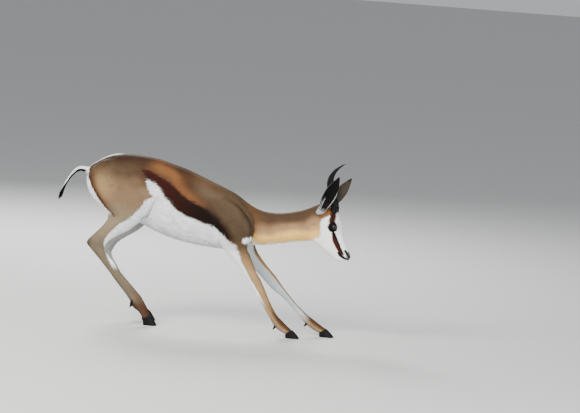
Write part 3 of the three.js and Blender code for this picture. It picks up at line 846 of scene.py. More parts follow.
def make_horn(side, name):
    path = even_run([(x, side * out, z) for x, z, out in HORN], HORN_STEPS)
    length = np.r_[0, np.cumsum(np.linalg.norm(np.diff(path, axis=0), axis=1))]
    share = length / length[-1]
    radii = HORN_RADIUS * (1 - HORN_TAPER * share**1.35)
    turns = (length / RING_PITCH) % 1
    crest = np.where(turns < RING_RISES, (turns / RING_RISES) ** 2, (1 - turns) / (1 - RING_RISES))
    ringed = 1 - smoothstep(RINGED - 0.12, RINGED + 0.04, share)
    radii = radii + RING_HEIGHT * (crest - 0.45) * ringed
    radii[-3:] *= (0.9, 0.6, 0)
    radii[0] = 0
    return tube(name, to_metres(turn_head(path)), radii * MM, HORN_AROUND)


horns = {"right": make_horn(RIGHT, "horn_sheath_right"), "left": make_horn(LEFT, "horn_sheath_left")}
for side, piece in horns.items():
    select_only(piece)
    bpy.ops.object.shade_smooth()
    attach(piece, "root")
    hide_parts(f"horn_{side}")
print("horn triangles", triangles_in(horns["right"]))

# %% [markdown]
# ## Eyes
# The eye is large and almost black. A ball with a clear, slightly raised cornea makes the
# highlight sit where it does on a live eye.

# %% Eyeballs
EYE_RINGS = 40
EYE_SEGMENTS = 56
CORNEA_RISE = 0.0009


def make_eye(side, name):
    centre = turn_head(eye_centre(side))
    outwards, slit, lift = eye_axes(side)
    bpy.ops.object.select_all(action="DESELECT")
    bpy.ops.mesh.primitive_uv_sphere_add(segments=EYE_SEGMENTS, ring_count=EYE_RINGS,
                                         radius=EYE_BALL * MM)
    piece = bpy.context.object
    piece.name = name
    ball = points_of(piece)
    rise = ball[:, 2] / (EYE_BALL * MM)
    ball[:, 2] += CORNEA_RISE * smoothstep(0.82, 1.0, rise)
    turned_axes = turn_ways(np.array([slit, lift, outwards]))
    set_points(piece, ball @ turned_axes + np.array(to_metres(centre)))
    bpy.ops.object.shade_smooth()
    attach(piece, "root")
    return piece


eyes = {"right": make_eye(RIGHT, "eyeball_right"), "left": make_eye(LEFT, "eyeball_left")}
for side, piece in eyes.items():
    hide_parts(f"eye_{side}")
print("eyes", [round(v, 3) for v in eyes["right"].bound_box[0]])

# %% [markdown]
# ## Hooves
# Each foot has two black claws and two small dewclaws behind the fetlock. The solid claws already
# have the right outline, so each is copied, its edges are softened a little, and the net is
# made even in triangles.

# %% Hooves and dewclaws
SOFT_EDGE = 0.0012
SHARP_FROM = math.radians(38)

claws = []
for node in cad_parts:
    if node.startswith(("hoof", "dewclaw")):
        piece = copy_of_node(node)
        piece.name = f"{node}_horn"
        modify(piece, "BEVEL", width=SOFT_EDGE, segments=2, limit_method="ANGLE", angle_limit=SHARP_FROM)
        modify(piece, "TRIANGULATE")
        select_only(piece)
        bpy.ops.object.shade_smooth()
        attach(piece, "root")
        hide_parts(node)
        claws.append(piece)
print("claws", len(claws), sum(triangles_in(piece) for piece in claws))

# %% [markdown]
# ## Markings
# One function paints any point of the animal, so the skin and every tuft of hair agree. Borders are
# curves on the side view, walked from the rear forwards or from the top down. A left leg's points
# are first carried over to the right leg's place, so one curve serves both.

# %% Colours
def linear(red, green, blue):
    value = np.array([red, green, blue]) / 255
    return np.where(value <= 0.04045, value / 12.92, ((value + 0.055) / 1.055) ** 2.4)


TAN = linear(116, 76, 44)
PALE_TAN = linear(158, 124, 90)
BROWN = linear(66, 49, 34)
DARK_BROWN = linear(38, 19, 8)
HAUNCH_TAN = linear(120, 96, 72)
STRIPE_REAR = linear(44, 11, 2)
STRIPE_FRONT = linear(15, 6, 2)
RED_BROWN = linear(72, 37, 20)
GREY_TAN = linear(118, 106, 86)
LEG_TAN = linear(158, 128, 90)
SHADE_WHITE = linear(128, 130, 126)
CREAM = linear(236, 188, 108)
WHITE = linear(247, 246, 243)
DULL_WHITE = linear(176, 182, 184)
BELLY_WHITE = linear(228, 231, 228)
BLACK = linear(5, 4, 4)
TAUPE = linear(62, 55, 47)
LIP = linear(20, 17, 17)
EAR_SKIN = linear(8, 7, 6)
SHOULDER_BROWN = linear(84, 68, 51)
BROW_RED = linear(50, 18, 7)
CHEEK_RED = linear(58, 22, 9)


def mix(base, colour, share):
    share = np.clip(share, 0, 1)[:, None]
    return base * (1 - share) + colour * share


def ripple(points, size, seed, count=14):
    waves = np.random.default_rng(seed)
    directions = unit(waves.normal(size=(count, 3)))
    pace = 2 * np.pi / (size * waves.uniform(0.6, 1.8, count))
    phase = waves.uniform(0, 2 * np.pi, count)
    return np.sin(points @ directions.T * pace + phase).sum(1) / math.sqrt(count)


# %% [markdown]
# ## Where the markings end
# The borders were measured along the animal's side: the upper and lower edge of the dark flank
# band, the edge of the brown thigh, of the white rump and of the shoulder, and the lines of the
# face. Each is a short list of points that a smooth run joins.

# %% Border curves
BACK_STRIPE_TOP = [
    (-330, 720), (-312, 672), (-294, 650), (-268, 633), (-243, 622), (-214, 617), (-184, 604), (-153, 591),
    (-122, 575), (-89, 551), (-58, 529), (-27, 512), (3, 498), (39, 486), (75, 466), (108, 438), (134, 406),
    (150, 373), (157, 352),
]
BACK_STRIPE_LOW = [
    (-250, 626), (-236, 604), (-218, 582), (-191, 571), (-169, 556), (-149, 530), (-123, 504), (-94, 475),
    (-51, 453), (-9, 442), (32, 425), (61, 416), (92, 396), (124, 370), (149, 354), (162, 330), (176, 300),
    (197, 262), (222, 222), (252, 178), (280, 134), (300, 96), (320, 60),
]
FORELEG_TAN = BACK_STRIPE_LOW[12:]
HAUNCH_EDGE = [
    (-262, 690), (-240, 640), (-220, 584), (-216, 558), (-205, 533), (-190, 518), (-200, 510), (-225, 500),
    (-237, 477), (-262, 445), (-288, 421), (-324, 393), (-350, 367), (-366, 345), (-380, 307), (-375, 278),
    (-360, 250), (-344, 224), (-324, 193),
]
RUMP_EDGE = [
    (-482, 640), (-478, 602), (-466, 584), (-456, 557), (-442, 529), (-421, 499), (-398, 472), (-375, 450),
    (-360, 439), (-346, 428),
]
SHOULDER_EDGE = [
    (150, 535), (165, 517), (192, 492), (212, 466), (221, 438), (220, 409), (213, 379), (208, 360),
]
TAN_BAND = [(-235, 636), (-211, 634), (-164, 622), (-107, 592), (-48, 544), (13, 510), (60, 486)]
# The fold between thigh and flank, where a thin line of painted shadow is drawn.
FLANK_FOLD_SHADOW = [(-182, 510), (-184, 499), (-198, 467), (-213, 438), (-236, 424)]
FACE_EDGE = [
    (430, 380), (448, 391), (471, 403), (487, 411), (488, 435), (486, 466), (498, 484), (513, 493),
    (522, 500),
]
FACE_STRIPE_BACK = [(535, 440), (535, 408), (544, 384), (560, 358), (573, 344)]
FACE_STRIPE_FRONT = [(543, 442), (544, 435), (549, 424), (558, 404), (569, 379), (582, 353), (586, 346)]
print("flank band from", BACK_STRIPE_LOW[0], "to", BACK_STRIPE_LOW[-1])


def as_right_side(points, parts):
    """points with those of the left legs moved to the same spot of the right legs"""
    moved = points.copy()
    for part in ("hindleg", "foreleg"):
        chosen = parts == PARTS.index(f"{part}_left")
        if chosen.any():
            along, across, _ = RUNS[f"{part}_left"].locate(points[chosen])
            twin = RUNS[f"{part}_right"]
            stops = twin.length / twin.length[-1]
            half = np.interp(along, stops, twin.half)
            for axis, column in ((0, 0), (1, 2)):
                middle = np.interp(along, stops, twin.middle[:, axis])
                moved[chosen, column] = middle + np.interp(along, stops, twin.rise[:, axis]) * half * across
    return moved


# %% [markdown]
# ## What every marking reads
# Each marking is a sum of soft steps over the same few measures of a point: its place on the side
# view, its distances from the borders, how far along and across its part it lies, and which way the
# surface faces there. They are worked out once. Slow and fast ripples keep borders and tones uneven.

# %% Measures for the body
EARS, TAIL_PART = len(PARTS), len(PARTS) + 1


def leg_mask(parts, name):
    return np.isin(parts, [PARTS.index(f"{name}_right"), PARTS.index(f"{name}_left")])


def bell(distance, width):
    return np.exp(-(distance / width) ** 2)


class Places:
    """the measures that the body's markings read, one value for each point"""

    def __init__(self, points, normals, parts):
        self.points, self.normals = points, normals
        parts = np.where(parts == HEAD, NECK, parts)
        self.flat = as_right_side(points, parts)
        body = np.minimum(parts, len(PARTS) - 1)
        self.along, self.across, _ = along_and_across(points, body)
        self.x, self.z = self.flat[:, 0], self.flat[:, 2]
        self.out = np.abs(points[:, 1])
        self.up = normals[:, 2]
        self.wobble = 0.9 * ripple(points, 30, 3) + 0.7 * ripple(points, 7, 8)
        self.broad = ripple(points, 90, 4)
        self.fine = ripple(points, 9, 5)
        self.hind, self.fore = leg_mask(parts, "hindleg"), leg_mask(parts, "foreleg")
        self.torso, self.neck = parts == TORSO, parts == NECK
        self.inner = -np.sign(points[:, 1]) * normals[:, 1]
        self.above = side_of_curve(self.flat, BACK_STRIPE_TOP) + self.wobble
        self.over_white = side_of_curve(self.flat, BACK_STRIPE_LOW) + self.wobble
        self.haunch = -side_of_curve(self.flat, HAUNCH_EDGE) + self.wobble
        self.rear_edge = side_of_curve(self.flat, RUMP_EDGE)
        self.neckline = side_of_curve(self.flat, SHOULDER_EDGE) + self.wobble

    def all_of(self, colour):
        return np.tile(colour, (len(self.points), 1))


# %% [markdown]
# ## Back, haunch and flank band
# The back is brown, with a lighter tan band just above the dark flank band, and a painted highlight where it
# faces up towards the front. The haunch is paler, with a painted highlight in its middle and a dark top. The
# flank band is red-brown at the loin and nearly black at the elbow, sharp below, where it meets the white
# belly, and soft above.

# %% Paint the back
def paint_back(at):
    x, above, broad = at.x, at.above, at.broad
    band = np.exp(-(side_of_curve(at.flat, TAN_BAND) / 20 + 0.3 * broad) ** 2) * (1 - smoothstep(-60, 60, x))
    band *= smoothstep(-245, -165, x)
    colour = mix(at.all_of(BROWN), TAN, np.clip(1.1 * band, 0, 1))
    darker = bell(above - 62 + 9 * broad, 26) * smoothstep(-290, -230, x) * (1 - smoothstep(-80, 10, x))
    colour = mix(colour, DARK_BROWN, 0.5 * darker * (1 - band))
    colour = mix(colour, RED_BROWN, 0.1 + 0.15 * broad)
    lighter = bell(above - 62 + 8 * broad, 24) * smoothstep(-60, 30, x)
    colour = mix(colour, GREY_TAN * 0.8, 0.45 * lighter)
    # Painted highlight: upward-facing skin of the trunk is lightened to tan towards the front, and darkened
    # to brown towards the rear.
    top = smoothstep(0.2, 0.95, at.up) * smoothstep(0.4, 0.9, at.across) * at.torso
    colour = mix(colour, TAN, 0.3 * top * smoothstep(-120, 0, x))
    return mix(colour, DARK_BROWN, 0.3 * top * smoothstep(-120, -240, x))


def paint_haunch(at, colour):
    x, z, haunch, broad = at.x, at.z, at.haunch, at.broad
    soft = 10 + 55 * smoothstep(575, 625, z)
    thigh = smoothstep(-soft, soft, haunch - 0.6 * (soft - 10))
    thigh = thigh * (1 - smoothstep(-300, -140, x + 12 * broad))
    thigh = np.maximum(thigh, smoothstep(-10, 10, haunch) * smoothstep(570, 545, z) * (x < -170))
    warm = mix(at.all_of(HAUNCH_TAN), BROWN, smoothstep(530, 610, z + 10 * broad) * 0.9)
    # Painted highlight: a pool of light on the middle of the haunch.
    painted_highlight = np.exp(-(((x + 400) / 42) ** 2 + ((z - 535) / 55) ** 2)) * ~at.neck
    warm = mix(warm, LEG_TAN, 0.8 * painted_highlight)
    warm = mix(warm, DARK_BROWN, smoothstep(610, 672, z + 6 * broad) * 0.9)
    warm = mix(warm, RED_BROWN, 0.9 * bell(at.rear_edge - 4, 20) * (z > 425))
    loin = smoothstep(-300, -230, x + 10 * broad) * smoothstep(520, 590, z)
    warm = mix(warm, RED_BROWN, 0.15 * loin)
    warm = mix(warm, GREY_TAN * 1.25, 0.8 * smoothstep(500, 420, z) + 0.1 * broad)
    return mix(colour, warm, thigh)


def paint_flank_band(at, colour):
    soft = 5 + 26 * smoothstep(0, 110, at.x)
    band = smoothstep(-3, 3, at.over_white) * (1 - smoothstep(-soft, soft * 0.9, at.above))
    band *= smoothstep(-300, -236, at.x + 6 * at.fine)
    band *= 1 - smoothstep(0, 10, at.haunch) * smoothstep(600, 585, at.z)
    tone = STRIPE_REAR + (STRIPE_FRONT - STRIPE_REAR) * smoothstep(-190, 60, at.x)[:, None]
    return colour * (1 - band[:, None]) + tone * band[:, None]


# %% [markdown]
# ## Shoulder, neck and foreleg
# The shoulder is a plain brown that ends in a thin line of painted shade along the groove at its edge. The
# neck is brown on top and cream below, with a small dark mark on the right. The foreleg is tan in front and
# white behind and inside, where the white is greyed as painted shade, and a white spot marks its top.

# %% Paint the shoulder, the neck and the forelegs
def paint_shoulder(at, colour):
    shoulder = (at.fore | at.torso) * smoothstep(20, 120, at.x) * smoothstep(330, 400, at.z)
    shade = smoothstep(-6, 30, at.above) * (1 - smoothstep(480, 580, at.z))
    colour = mix(colour, SHOULDER_BROWN, 0.8 * shoulder * smoothstep(-20, 20, at.above))
    colour = mix(colour, DARK_BROWN, 0.2 * shoulder * shade)
    on_shoulder = at.torso | at.neck | (at.fore & (at.z > 340))
    # Painted shade: a thin dark line along the groove at the shoulder's edge.
    line = bell(at.neckline + 3, 4) * on_shoulder * (at.out > 24)
    return mix(colour, DARK_BROWN, 0.4 * line)


def paint_neck(at, colour):
    across, neckline = at.across, at.neckline
    neck = mix(at.all_of(CREAM), PALE_TAN, smoothstep(-0.55, -0.05, across + 0.08 * at.broad))
    neck = mix(neck, BROWN, 0.95 * smoothstep(-0.1, 0.6, across + 0.12 * at.broad))
    neck = mix(neck, WHITE, 1 - smoothstep(-0.98, -0.84, across + 0.05 * at.fine))
    neck = mix(neck, TAN, 0.35 * bell(neckline, 30) * smoothstep(-0.8, 0, across))
    mark = smoothstep(4.5, 2.5, np.hypot(at.x - 458, at.z - 459)) * (at.points[:, 1] < -20)
    neck = mix(neck, DARK_BROWN, 0.8 * mark)
    in_neck = np.where(at.neck, 1.0, 0) * smoothstep(-4, 5, neckline)
    in_neck = np.maximum(in_neck, at.torso * smoothstep(0, 6, neckline) * (at.x > 150))
    return mix(colour, neck, in_neck)


def paint_foreleg(at, colour):
    along, across, z = at.along, at.across, at.z
    tan = mix(at.all_of(LEG_TAN), TAN, 0.25 * smoothstep(0.1, 0.9, across) + 0.1 * at.broad)
    tan = mix(tan, BROWN * 1.3, 0.85 * smoothstep(280, 350, z))
    tan = mix(tan, RED_BROWN * 0.7, smoothstep(0.68, 0.86, along) * smoothstep(-0.3, 0.5, across) * 0.9)
    tan = mix(tan, GREY_TAN, smoothstep(0.74, 0.9, along) * smoothstep(0.2, -0.6, across) * 0.8)
    colour = mix(colour, tan, at.fore * smoothstep(390, 345, z))
    white_edge = side_of_curve(at.flat, FORELEG_TAN) + 0.5 * at.wobble
    behind = (1 - smoothstep(-2.5, 2.5, white_edge)) * (1 - smoothstep(0.62, 0.78, along))
    # Painted shade: the inner face is white greyed towards DULL_WHITE.
    inside = smoothstep(0.1, 0.45, at.inner) * (1 - smoothstep(0.55, 0.75, across))
    inside = inside * (1 - smoothstep(0.78, 0.9, along))
    white = mix(at.all_of(WHITE), DULL_WHITE, inside)
    colour = mix(colour, white, np.maximum(behind, inside) * at.fore * smoothstep(420, 385, z))
    spot = smoothstep(1.15, 0.85, np.hypot((at.x - 196) / 16, (z - 377) / 12) + 0.03 * at.wobble)
    spot *= at.fore | at.torso
    return mix(colour, WHITE, spot * (at.normals[:, 0] > -0.3))


# %% [markdown]
# ## Belly, hind leg and rump
# The belly is white with faint grey streaks along the hair. The hind leg is grey-brown with a white
# front above the hock, a dark spot on its point and reddish pasterns; its inner thigh is greyed and a thin
# dark line marks its fold at the flank, both painted shade. The rump is white inside a dark border, and a
# white line runs from it along the croup.

# %% Paint the belly, the hind legs and the rump
def paint_belly(at, colour):
    x, z = at.x, at.z
    belly = (1 - smoothstep(-3, 3, at.over_white)) * (1 - smoothstep(-2.5, 2.5, at.haunch))
    belly *= np.where(at.fore, smoothstep(325, 335, z), ~at.neck)
    belly *= np.where(at.hind, smoothstep(205, 240, z), 1)
    facing_down = smoothstep(0.35, 0.7, -at.up) * at.torso * (z < 520) * (x < 160)
    belly = np.maximum(belly, facing_down)
    brisket = ~at.hind & ~at.neck & (z < 392) & (z > 335) & (x > 120) & (x < 205) & (at.out < 34)
    brisket &= ~at.fore | (at.inner > 0.1)
    belly = np.maximum(belly, brisket * smoothstep(396, 386, z))
    streak = 0.24 + 0.22 * ripple(at.flat * (0.3, 1, 1), 9, 11)
    return mix(colour, mix(at.all_of(BELLY_WHITE), DULL_WHITE, streak), belly)


def paint_hindleg(at, colour):
    across, z = at.across, at.z
    tan = mix(at.all_of(GREY_TAN * 0.8), BROWN, 0.4 * smoothstep(-0.35, -0.9, across))
    tan = mix(tan, RED_BROWN, smoothstep(170, 100, z) * smoothstep(-0.3, 0.5, across) * 0.5)
    tan = mix(tan, RED_BROWN * 0.7, smoothstep(110, 70, z) * 0.75)
    tan = mix(tan, DARK_BROWN, 0.7 * bell(z - 305, 10) * smoothstep(-0.7, -0.98, across))
    white_front = smoothstep(-2.5, 2.5, -at.haunch) * smoothstep(205, 240, z)
    colour = mix(colour, mix(tan, WHITE, white_front), at.hind * smoothstep(370, 310, z))
    # Painted shade: the inner thigh is greyed.
    shaded_inner_thigh = at.hind * smoothstep(0.15, 0.5, at.inner) * smoothstep(-0.92, -0.6, across)
    shaded_inner_thigh *= smoothstep(60, 140, z)
    colour = mix(colour, SHADE_WHITE, 0.92 * shaded_inner_thigh)
    # Painted shadow: a thin dark line in the fold where the thigh meets the flank.
    crease = bell(side_of_curve(at.flat, FLANK_FOLD_SHADOW), 3.0) * (at.out > 45)
    return mix(colour, GREY_TAN * 0.4, 0.75 * crease)


def paint_rump(at, colour):
    x, z, out, rear_edge = at.x, at.z, at.out, at.rear_edge
    patch = 1 - smoothstep(-2, 2, rear_edge + 0.5 * at.wobble)
    patch = patch * np.where(out > 30, smoothstep(428, 440, z), 1)
    patch *= (x < -340) * smoothstep(250, 340, z)
    line = bell(rear_edge - 3.5, 4.2) * (z > 425) * (x < -330) * (1 - 0.35 * smoothstep(480, 540, z))
    colour = mix(colour, BLACK, 0.85 * line)
    colour = mix(colour, WHITE, patch)
    ridge_width = np.interp(x, [-480, -400, -360, -330], [17, 22, 16, 0])
    ridge = (1 - smoothstep(-3, 2, out - ridge_width + 0.6 * at.wobble)) * (at.up > 0) * (x < -325)
    beside = bell(out - ridge_width - 8, 9) * (x < -270) * (at.up > 0.1) * (z > 570)
    colour = mix(colour, DARK_BROWN, 0.7 * beside)
    edge_line = bell(out - ridge_width - 3, 3.5) * (x < -300) * (at.up > 0) * (z > 570)
    colour = mix(colour, BLACK, 0.7 * edge_line)
    return mix(colour, WHITE, ridge)


def paint_body(points, normals, parts):
    at = Places(points, normals, parts)
    colour = paint_back(at)
    steps = (paint_haunch, paint_flank_band, paint_shoulder, paint_neck, paint_foreleg, paint_belly,
             paint_hindleg, paint_rump)
    for step in steps:
        colour = step(at, colour)
    return colour


# %% [markdown]
# ## Head
# The face is white, with a red-brown line from the eye to the mouth, a dark patch over the brow, a
# black socket and dark lips and nostrils. It is painted as if the head looked straight ahead.

# %% Paint the head
def distance_to(points, rows):
    return np.abs(side_of_curve(points, rows))


def paint_head(points, base):
    straight = straighten_head(points)
    x, z, out = straight[:, 0], straight[:, 2], np.abs(straight[:, 1])
    wobble = 1.1 * ripple(straight, 8, 6)
    behind = side_of_curve(straight, FACE_EDGE) + wobble
    nape = mix(base, TAN, 0.8 * smoothstep(474, 490, x) * smoothstep(480, 494, z))
    colour = mix(nape, WHITE, 1 - smoothstep(-2.5, 2.5, behind))
    crown = smoothstep(500, 510, z + wobble) * smoothstep(470, 490, x)
    colour = mix(colour, TAN, 0.85 * crown)
    patch = smoothstep(518, 523, x + wobble) * (1 - smoothstep(540, 546, x + wobble))
    patch = patch * smoothstep(466, 472, z)
    patch *= (1 - smoothstep(504, 510, z)) * smoothstep(17, 22, out)
    colour = mix(colour, BROW_RED, patch)
    front = side_of_curve(straight, FACE_STRIPE_FRONT) + 0.5 * wobble
    back = side_of_curve(straight, FACE_STRIPE_BACK) + 0.5 * wobble
    stripe = smoothstep(-1.5, 1.5, back) * (1 - smoothstep(-1.5, 1.5, front))
    stripe *= smoothstep(340, 348, z) * (1 - smoothstep(438, 446, z)) * smoothstep(8, 12, out)
    darker = np.maximum(smoothstep(-8, -4, front), smoothstep(400, 425, z))
    stripe_colour = mix(np.tile(CHEEK_RED, (len(points), 1)), BLACK, darker)
    colour = colour * (1 - stripe[:, None]) + stripe_colour * stripe[:, None]
    socket = np.hypot((x - 535.5) / 18, (z - 454) / 20.5)
    colour = mix(colour, BLACK, smoothstep(1.06, 0.96, socket) * (out > 20))
    nose = smoothstep(6.0, 3.5, distance_to(straight, NOSTRIL)) * (out > 2)
    nose_tip = smoothstep(590, 596, x) * smoothstep(332, 336, z) * (1 - smoothstep(356, 362, z))
    nose = np.maximum(nose, nose_tip)
    colour = mix(colour, LIP, 0.9 * nose)
    colour = mix(colour, BLACK, smoothstep(3.2, 1.6, distance_to(straight, NOSTRIL)))
    mouth = distance_to(straight, MOUTH) - 2 * smoothstep(592, 580, x)
    colour = mix(colour, LIP, 0.92 * smoothstep(5.5, 3.2, mouth) * smoothstep(556, 564, x) * (z > 322))
    colour = mix(colour, BLACK, smoothstep(2.0, 0.8, mouth) * (x > 556))
    for side in (RIGHT, LEFT):
        outwards, slit, lift = eye_axes(side)
        offset = straight - eye_centre(side)
        edge = lid_distance(offset @ slit, offset @ lift)
        near = (np.linalg.norm(offset, axis=1) < 30) & (offset @ outwards > 2)
        colour = mix(colour, BLACK, smoothstep(2.6, 1.4, edge) * near)
        corner = np.hypot((offset @ slit - 17) / 3.4, offset @ lift / 1.6)
        colour = mix(colour, BLACK, smoothstep(1.3, 0.8, corner) * near)
    return colour


# %% [markdown]
# ## Ears and tail
# The ear is grey-brown behind and dark in its cup, with rows of white hair. The tail is white, with
# black hair at its end, and black inside its curve as painted shade of the underside.

# %% Paint the ears and the tail
TAIL_END = -556, -568


def ear_place(points, side):
    """the share of the ear's length and the place across it, in mm"""
    root, tip, axis, _, across = ear_frame(side)
    offset = straighten_head(points) - root
    return offset @ axis / np.linalg.norm(tip - root), offset @ across


def paint_ear(points, normals):
    colour = np.tile(TAUPE, (len(points), 1))
    profile = np.array(EAR_WIDTHS) * EAR_HALF_WIDTH
    for side in (RIGHT, LEFT):
        chosen = head_side(points) == side
        if not chosen.any():
            continue
        _, _, _, outwards, across_axis = ear_frame(side)
        share, across = ear_place(points[chosen], side)
        facing = normals[chosen] @ turn_ways(outwards)
        width = np.interp(share, np.linspace(0, 1, 7), profile)
        edge = np.abs(across) / width
        back = mix(np.tile(TAN * 0.8, (chosen.sum(), 1)), TAUPE, smoothstep(0.05, 0.3, share))
        back = mix(back, BLACK, 0.75 * smoothstep(0.86, 0.98, share))
        forward = across / width * np.sign(across_axis[0])
        streaks = bell(forward + 0.45, 0.06) * smoothstep(0.42, 0.25, share)
        short_row = bell(forward + 0.75, 0.05) * smoothstep(0.34, 0.2, share)
        streaks = np.maximum(streaks, 0.8 * short_row)
        inside = mix(np.tile(EAR_SKIN, (chosen.sum(), 1)), DULL_WHITE, 0.75 * streaks)
        rim = smoothstep(0.88, 0.98, edge) * np.where(forward > 0, smoothstep(0.72, 0.5, share), 0.2)
        inside = mix(inside, DULL_WHITE, rim)
        inside = mix(inside, DULL_WHITE, smoothstep(0.05, -0.02, share))
        inwards = smoothstep(0.1, 0.35, facing)[:, None]
        colour[chosen] = back * (1 - inwards) + inside * inwards
    return colour


def paint_tail(points, normals):
    white = np.tile(WHITE, (len(points), 1))
    # Painted shade: the downward-facing underside of the tail is black.
    below = smoothstep(0.0, 0.3, -normals[:, 2]) * smoothstep(-488, -494, points[:, 0])
    return mix(white, BLACK, np.maximum(below, smoothstep(*TAIL_END, points[:, 0])))


def paint(points, normals, parts):
    colour = paint_body(points, normals, parts)
    chosen = (parts == HEAD) | ((parts == NECK) & (points[:, 0] > 440))
    if chosen.any():
        colour[chosen] = paint_head(points[chosen], colour[chosen])
    chosen = parts == EARS
    if chosen.any():
        colour[chosen] = paint_ear(points[chosen], normals[chosen])
    chosen = parts == TAIL_PART
    if chosen.any():
        colour[chosen] = paint_tail(points[chosen], normals[chosen])
    return np.clip(colour, 0, 1)


# %% [markdown]
# ## The colour of the skin
# Every point of the skin carries its colour as an attribute, so no picture has to be wrapped around
# the animal, and no border smears where an unwrap is stretched.

# %% Paint the skin
def set_colours(piece, colour, name="coat_colour"):
    attribute = piece.data.color_attributes.new(name=name, type="FLOAT_COLOR", domain="POINT")
    attribute.data.foreach_set("color", np.column_stack([colour, np.ones(len(colour))]).ravel())
    piece.data.color_attributes.active_color = attribute


skin_points = points_of(skin)
skin_sizes = to_sizes(skin_points)
skin_normals = normals_of(skin)
skin_parts = part_of(skin_points)
skin_parts[ear_start:] = EARS
on_tail = (skin_sizes[:, 0] < -481) & (np.abs(skin_sizes[:, 1]) < 24) & (skin_sizes[:, 2] > 470)
skin_parts[on_tail] = TAIL_PART
skin_colour = paint(skin_sizes, skin_normals, skin_parts)
set_colours(skin, skin_colour)
print("painted", len(skin_colour), "points of skin")

# %% [markdown]
# ## The lie of the coat
# Hair lies from the nose towards the tail and down the legs. Each point of the skin gets that
# direction from its run, and neighbours are averaged so that the hair turns smoothly where
# parts meet.

# %% Comb directions
COMB_ROUNDS = 14
FALLS = 0.42
TAIL_LIE = -0.9, 0, -0.5

edge_ends = np.empty(len(skin.data.edges) * 2, np.int32)
skin.data.edges.foreach_get("vertices", edge_ends)
edge_ends = edge_ends.reshape(-1, 2)
body_parts = np.minimum(skin_parts, len(PARTS) - 1)
skin_along, skin_across, skin_ahead = along_and_across(skin_sizes, body_parts)
lie = -skin_ahead
on_leg = leg_mask(body_parts, "hindleg") | leg_mask(body_parts, "foreleg")
lie[on_leg] *= -1
lie[~on_leg, 2] -= FALLS * (1 - smoothstep(0.2, 1.0, np.abs(skin_normals[~on_leg, 2])))
lie[skin_parts == TAIL_PART] = TAIL_LIE
for side in (RIGHT, LEFT):
    chosen = (skin_parts == EARS) & (head_side(skin_sizes) == side)
    lie[chosen] = ear_frame(side)[2]


def average_over_net(values, rounds):
    for _ in range(rounds):
        total = values.copy()
        count = np.ones(len(values))
        for here, there in (edge_ends.T, edge_ends.T[::-1]):
            count += np.bincount(here, minlength=len(values))
            for axis in range(values.shape[1]):
                total[:, axis] += np.bincount(here, values[there, axis], len(values))
        values = total / count[:, None]
    return values


def flatten_to_skin(vectors, normals):
    return unit(vectors - normals * (vectors * normals).sum(1, keepdims=True))


lie = average_over_net(flatten_to_skin(lie, skin_normals), COMB_ROUNDS)
lie = flatten_to_skin(lie, skin_normals)
print("combed", len(lie), "points")

# %% [markdown]
# ## Hair
# The coat is short and lies flat, so most of it is many thin, narrow tufts of solid mesh that barely
# rise from the skin and overlap like roof tiles. They are smaller on the face, the ears and the
# feet. A hair particle system would be quicker to set up, but its strands are lines that an
# export leaves out. The roots are drawn evenly by area, and sorted by place so that they spread.

# %% Sow roots evenly over the skin
SOW_CELL = 12

corners = np.empty(len(skin.data.polygons) * 3, np.int32)
skin.data.polygons.foreach_get("vertices", corners)
corners = corners.reshape(-1, 3)
first, second, third = (skin_points[corners[:, index]] for index in range(3))
face_areas = np.linalg.norm(np.cross(second - first, third - first), axis=1) / 2 / MM**2
face_parts = skin_parts[corners[:, 0]]
face_middle = to_sizes((first + second + third) / 3)
print("area of the skin", round(face_areas.sum() / 1e6, 3), "square metres")


def sow(mask, spacing):
    """roots about spacing mm apart on the faces in mask: their faces and their shares of the corners"""
    faces = np.flatnonzero(mask)
    middles = face_middle[faces]
    cells = np.floor(middles / SOW_CELL).astype(int)
    faces = faces[np.lexsort((cells[:, 2], cells[:, 1], cells[:, 0]))]
    total = np.cumsum(face_areas[faces] / np.broadcast_to(spacing, len(face_areas))[faces] ** 2)
    stops = np.arange(int(total[-1])) + rng.random(int(total[-1]))
    picked = faces[np.minimum(np.searchsorted(total, stops), len(faces) - 1)]
    shares = rng.random((len(picked), 2))
    over = shares.sum(1) > 1
    shares[over] = 1 - shares[over]
    return picked, np.column_stack([1 - shares.sum(1), shares])


def blend_of(values, picked, shares):
    return (values[corners[picked]] * shares[..., None]).sum(1)


# %% [markdown]
# ## One tuft
# A tuft is a closed sliver with four corners: two at the root, one on its ridge and one at the point.
# Its normals lean towards the skin's, so that thousands of slivers shade as one coat. Its corners take
# their place in the bake map from a rolled-out plan of the part that they grow on.

# %% Build a coat from roots
TUFT = np.array([[0.5, 0.0, -0.5], [-0.5, 0.0, -0.5], [0.0, 0.32, 0.5], [0.0, 1.0, 0.0]])
TUFT_FACES = np.array([[0, 3, 2], [1, 2, 3], [0, 2, 1], [0, 1, 3]])
PATCH = 0.0015
TUFT_SPREAD = np.array([[-1, -1], [1, -1], [0, 0], [0, 1]]) * PATCH
TUFT_SHADE = np.array([0.90, 0.90, 1.0, 1.06])
TUFT_LEAN = np.array([0.30, -0.30, 0.0, 0.0])
ROOT_DEPTH = 0.0003
TINT = 0.06
STRAY = 0.16
COLOUR_STRAY = 0.9
UNROLL_HALF_WIDTH = 45


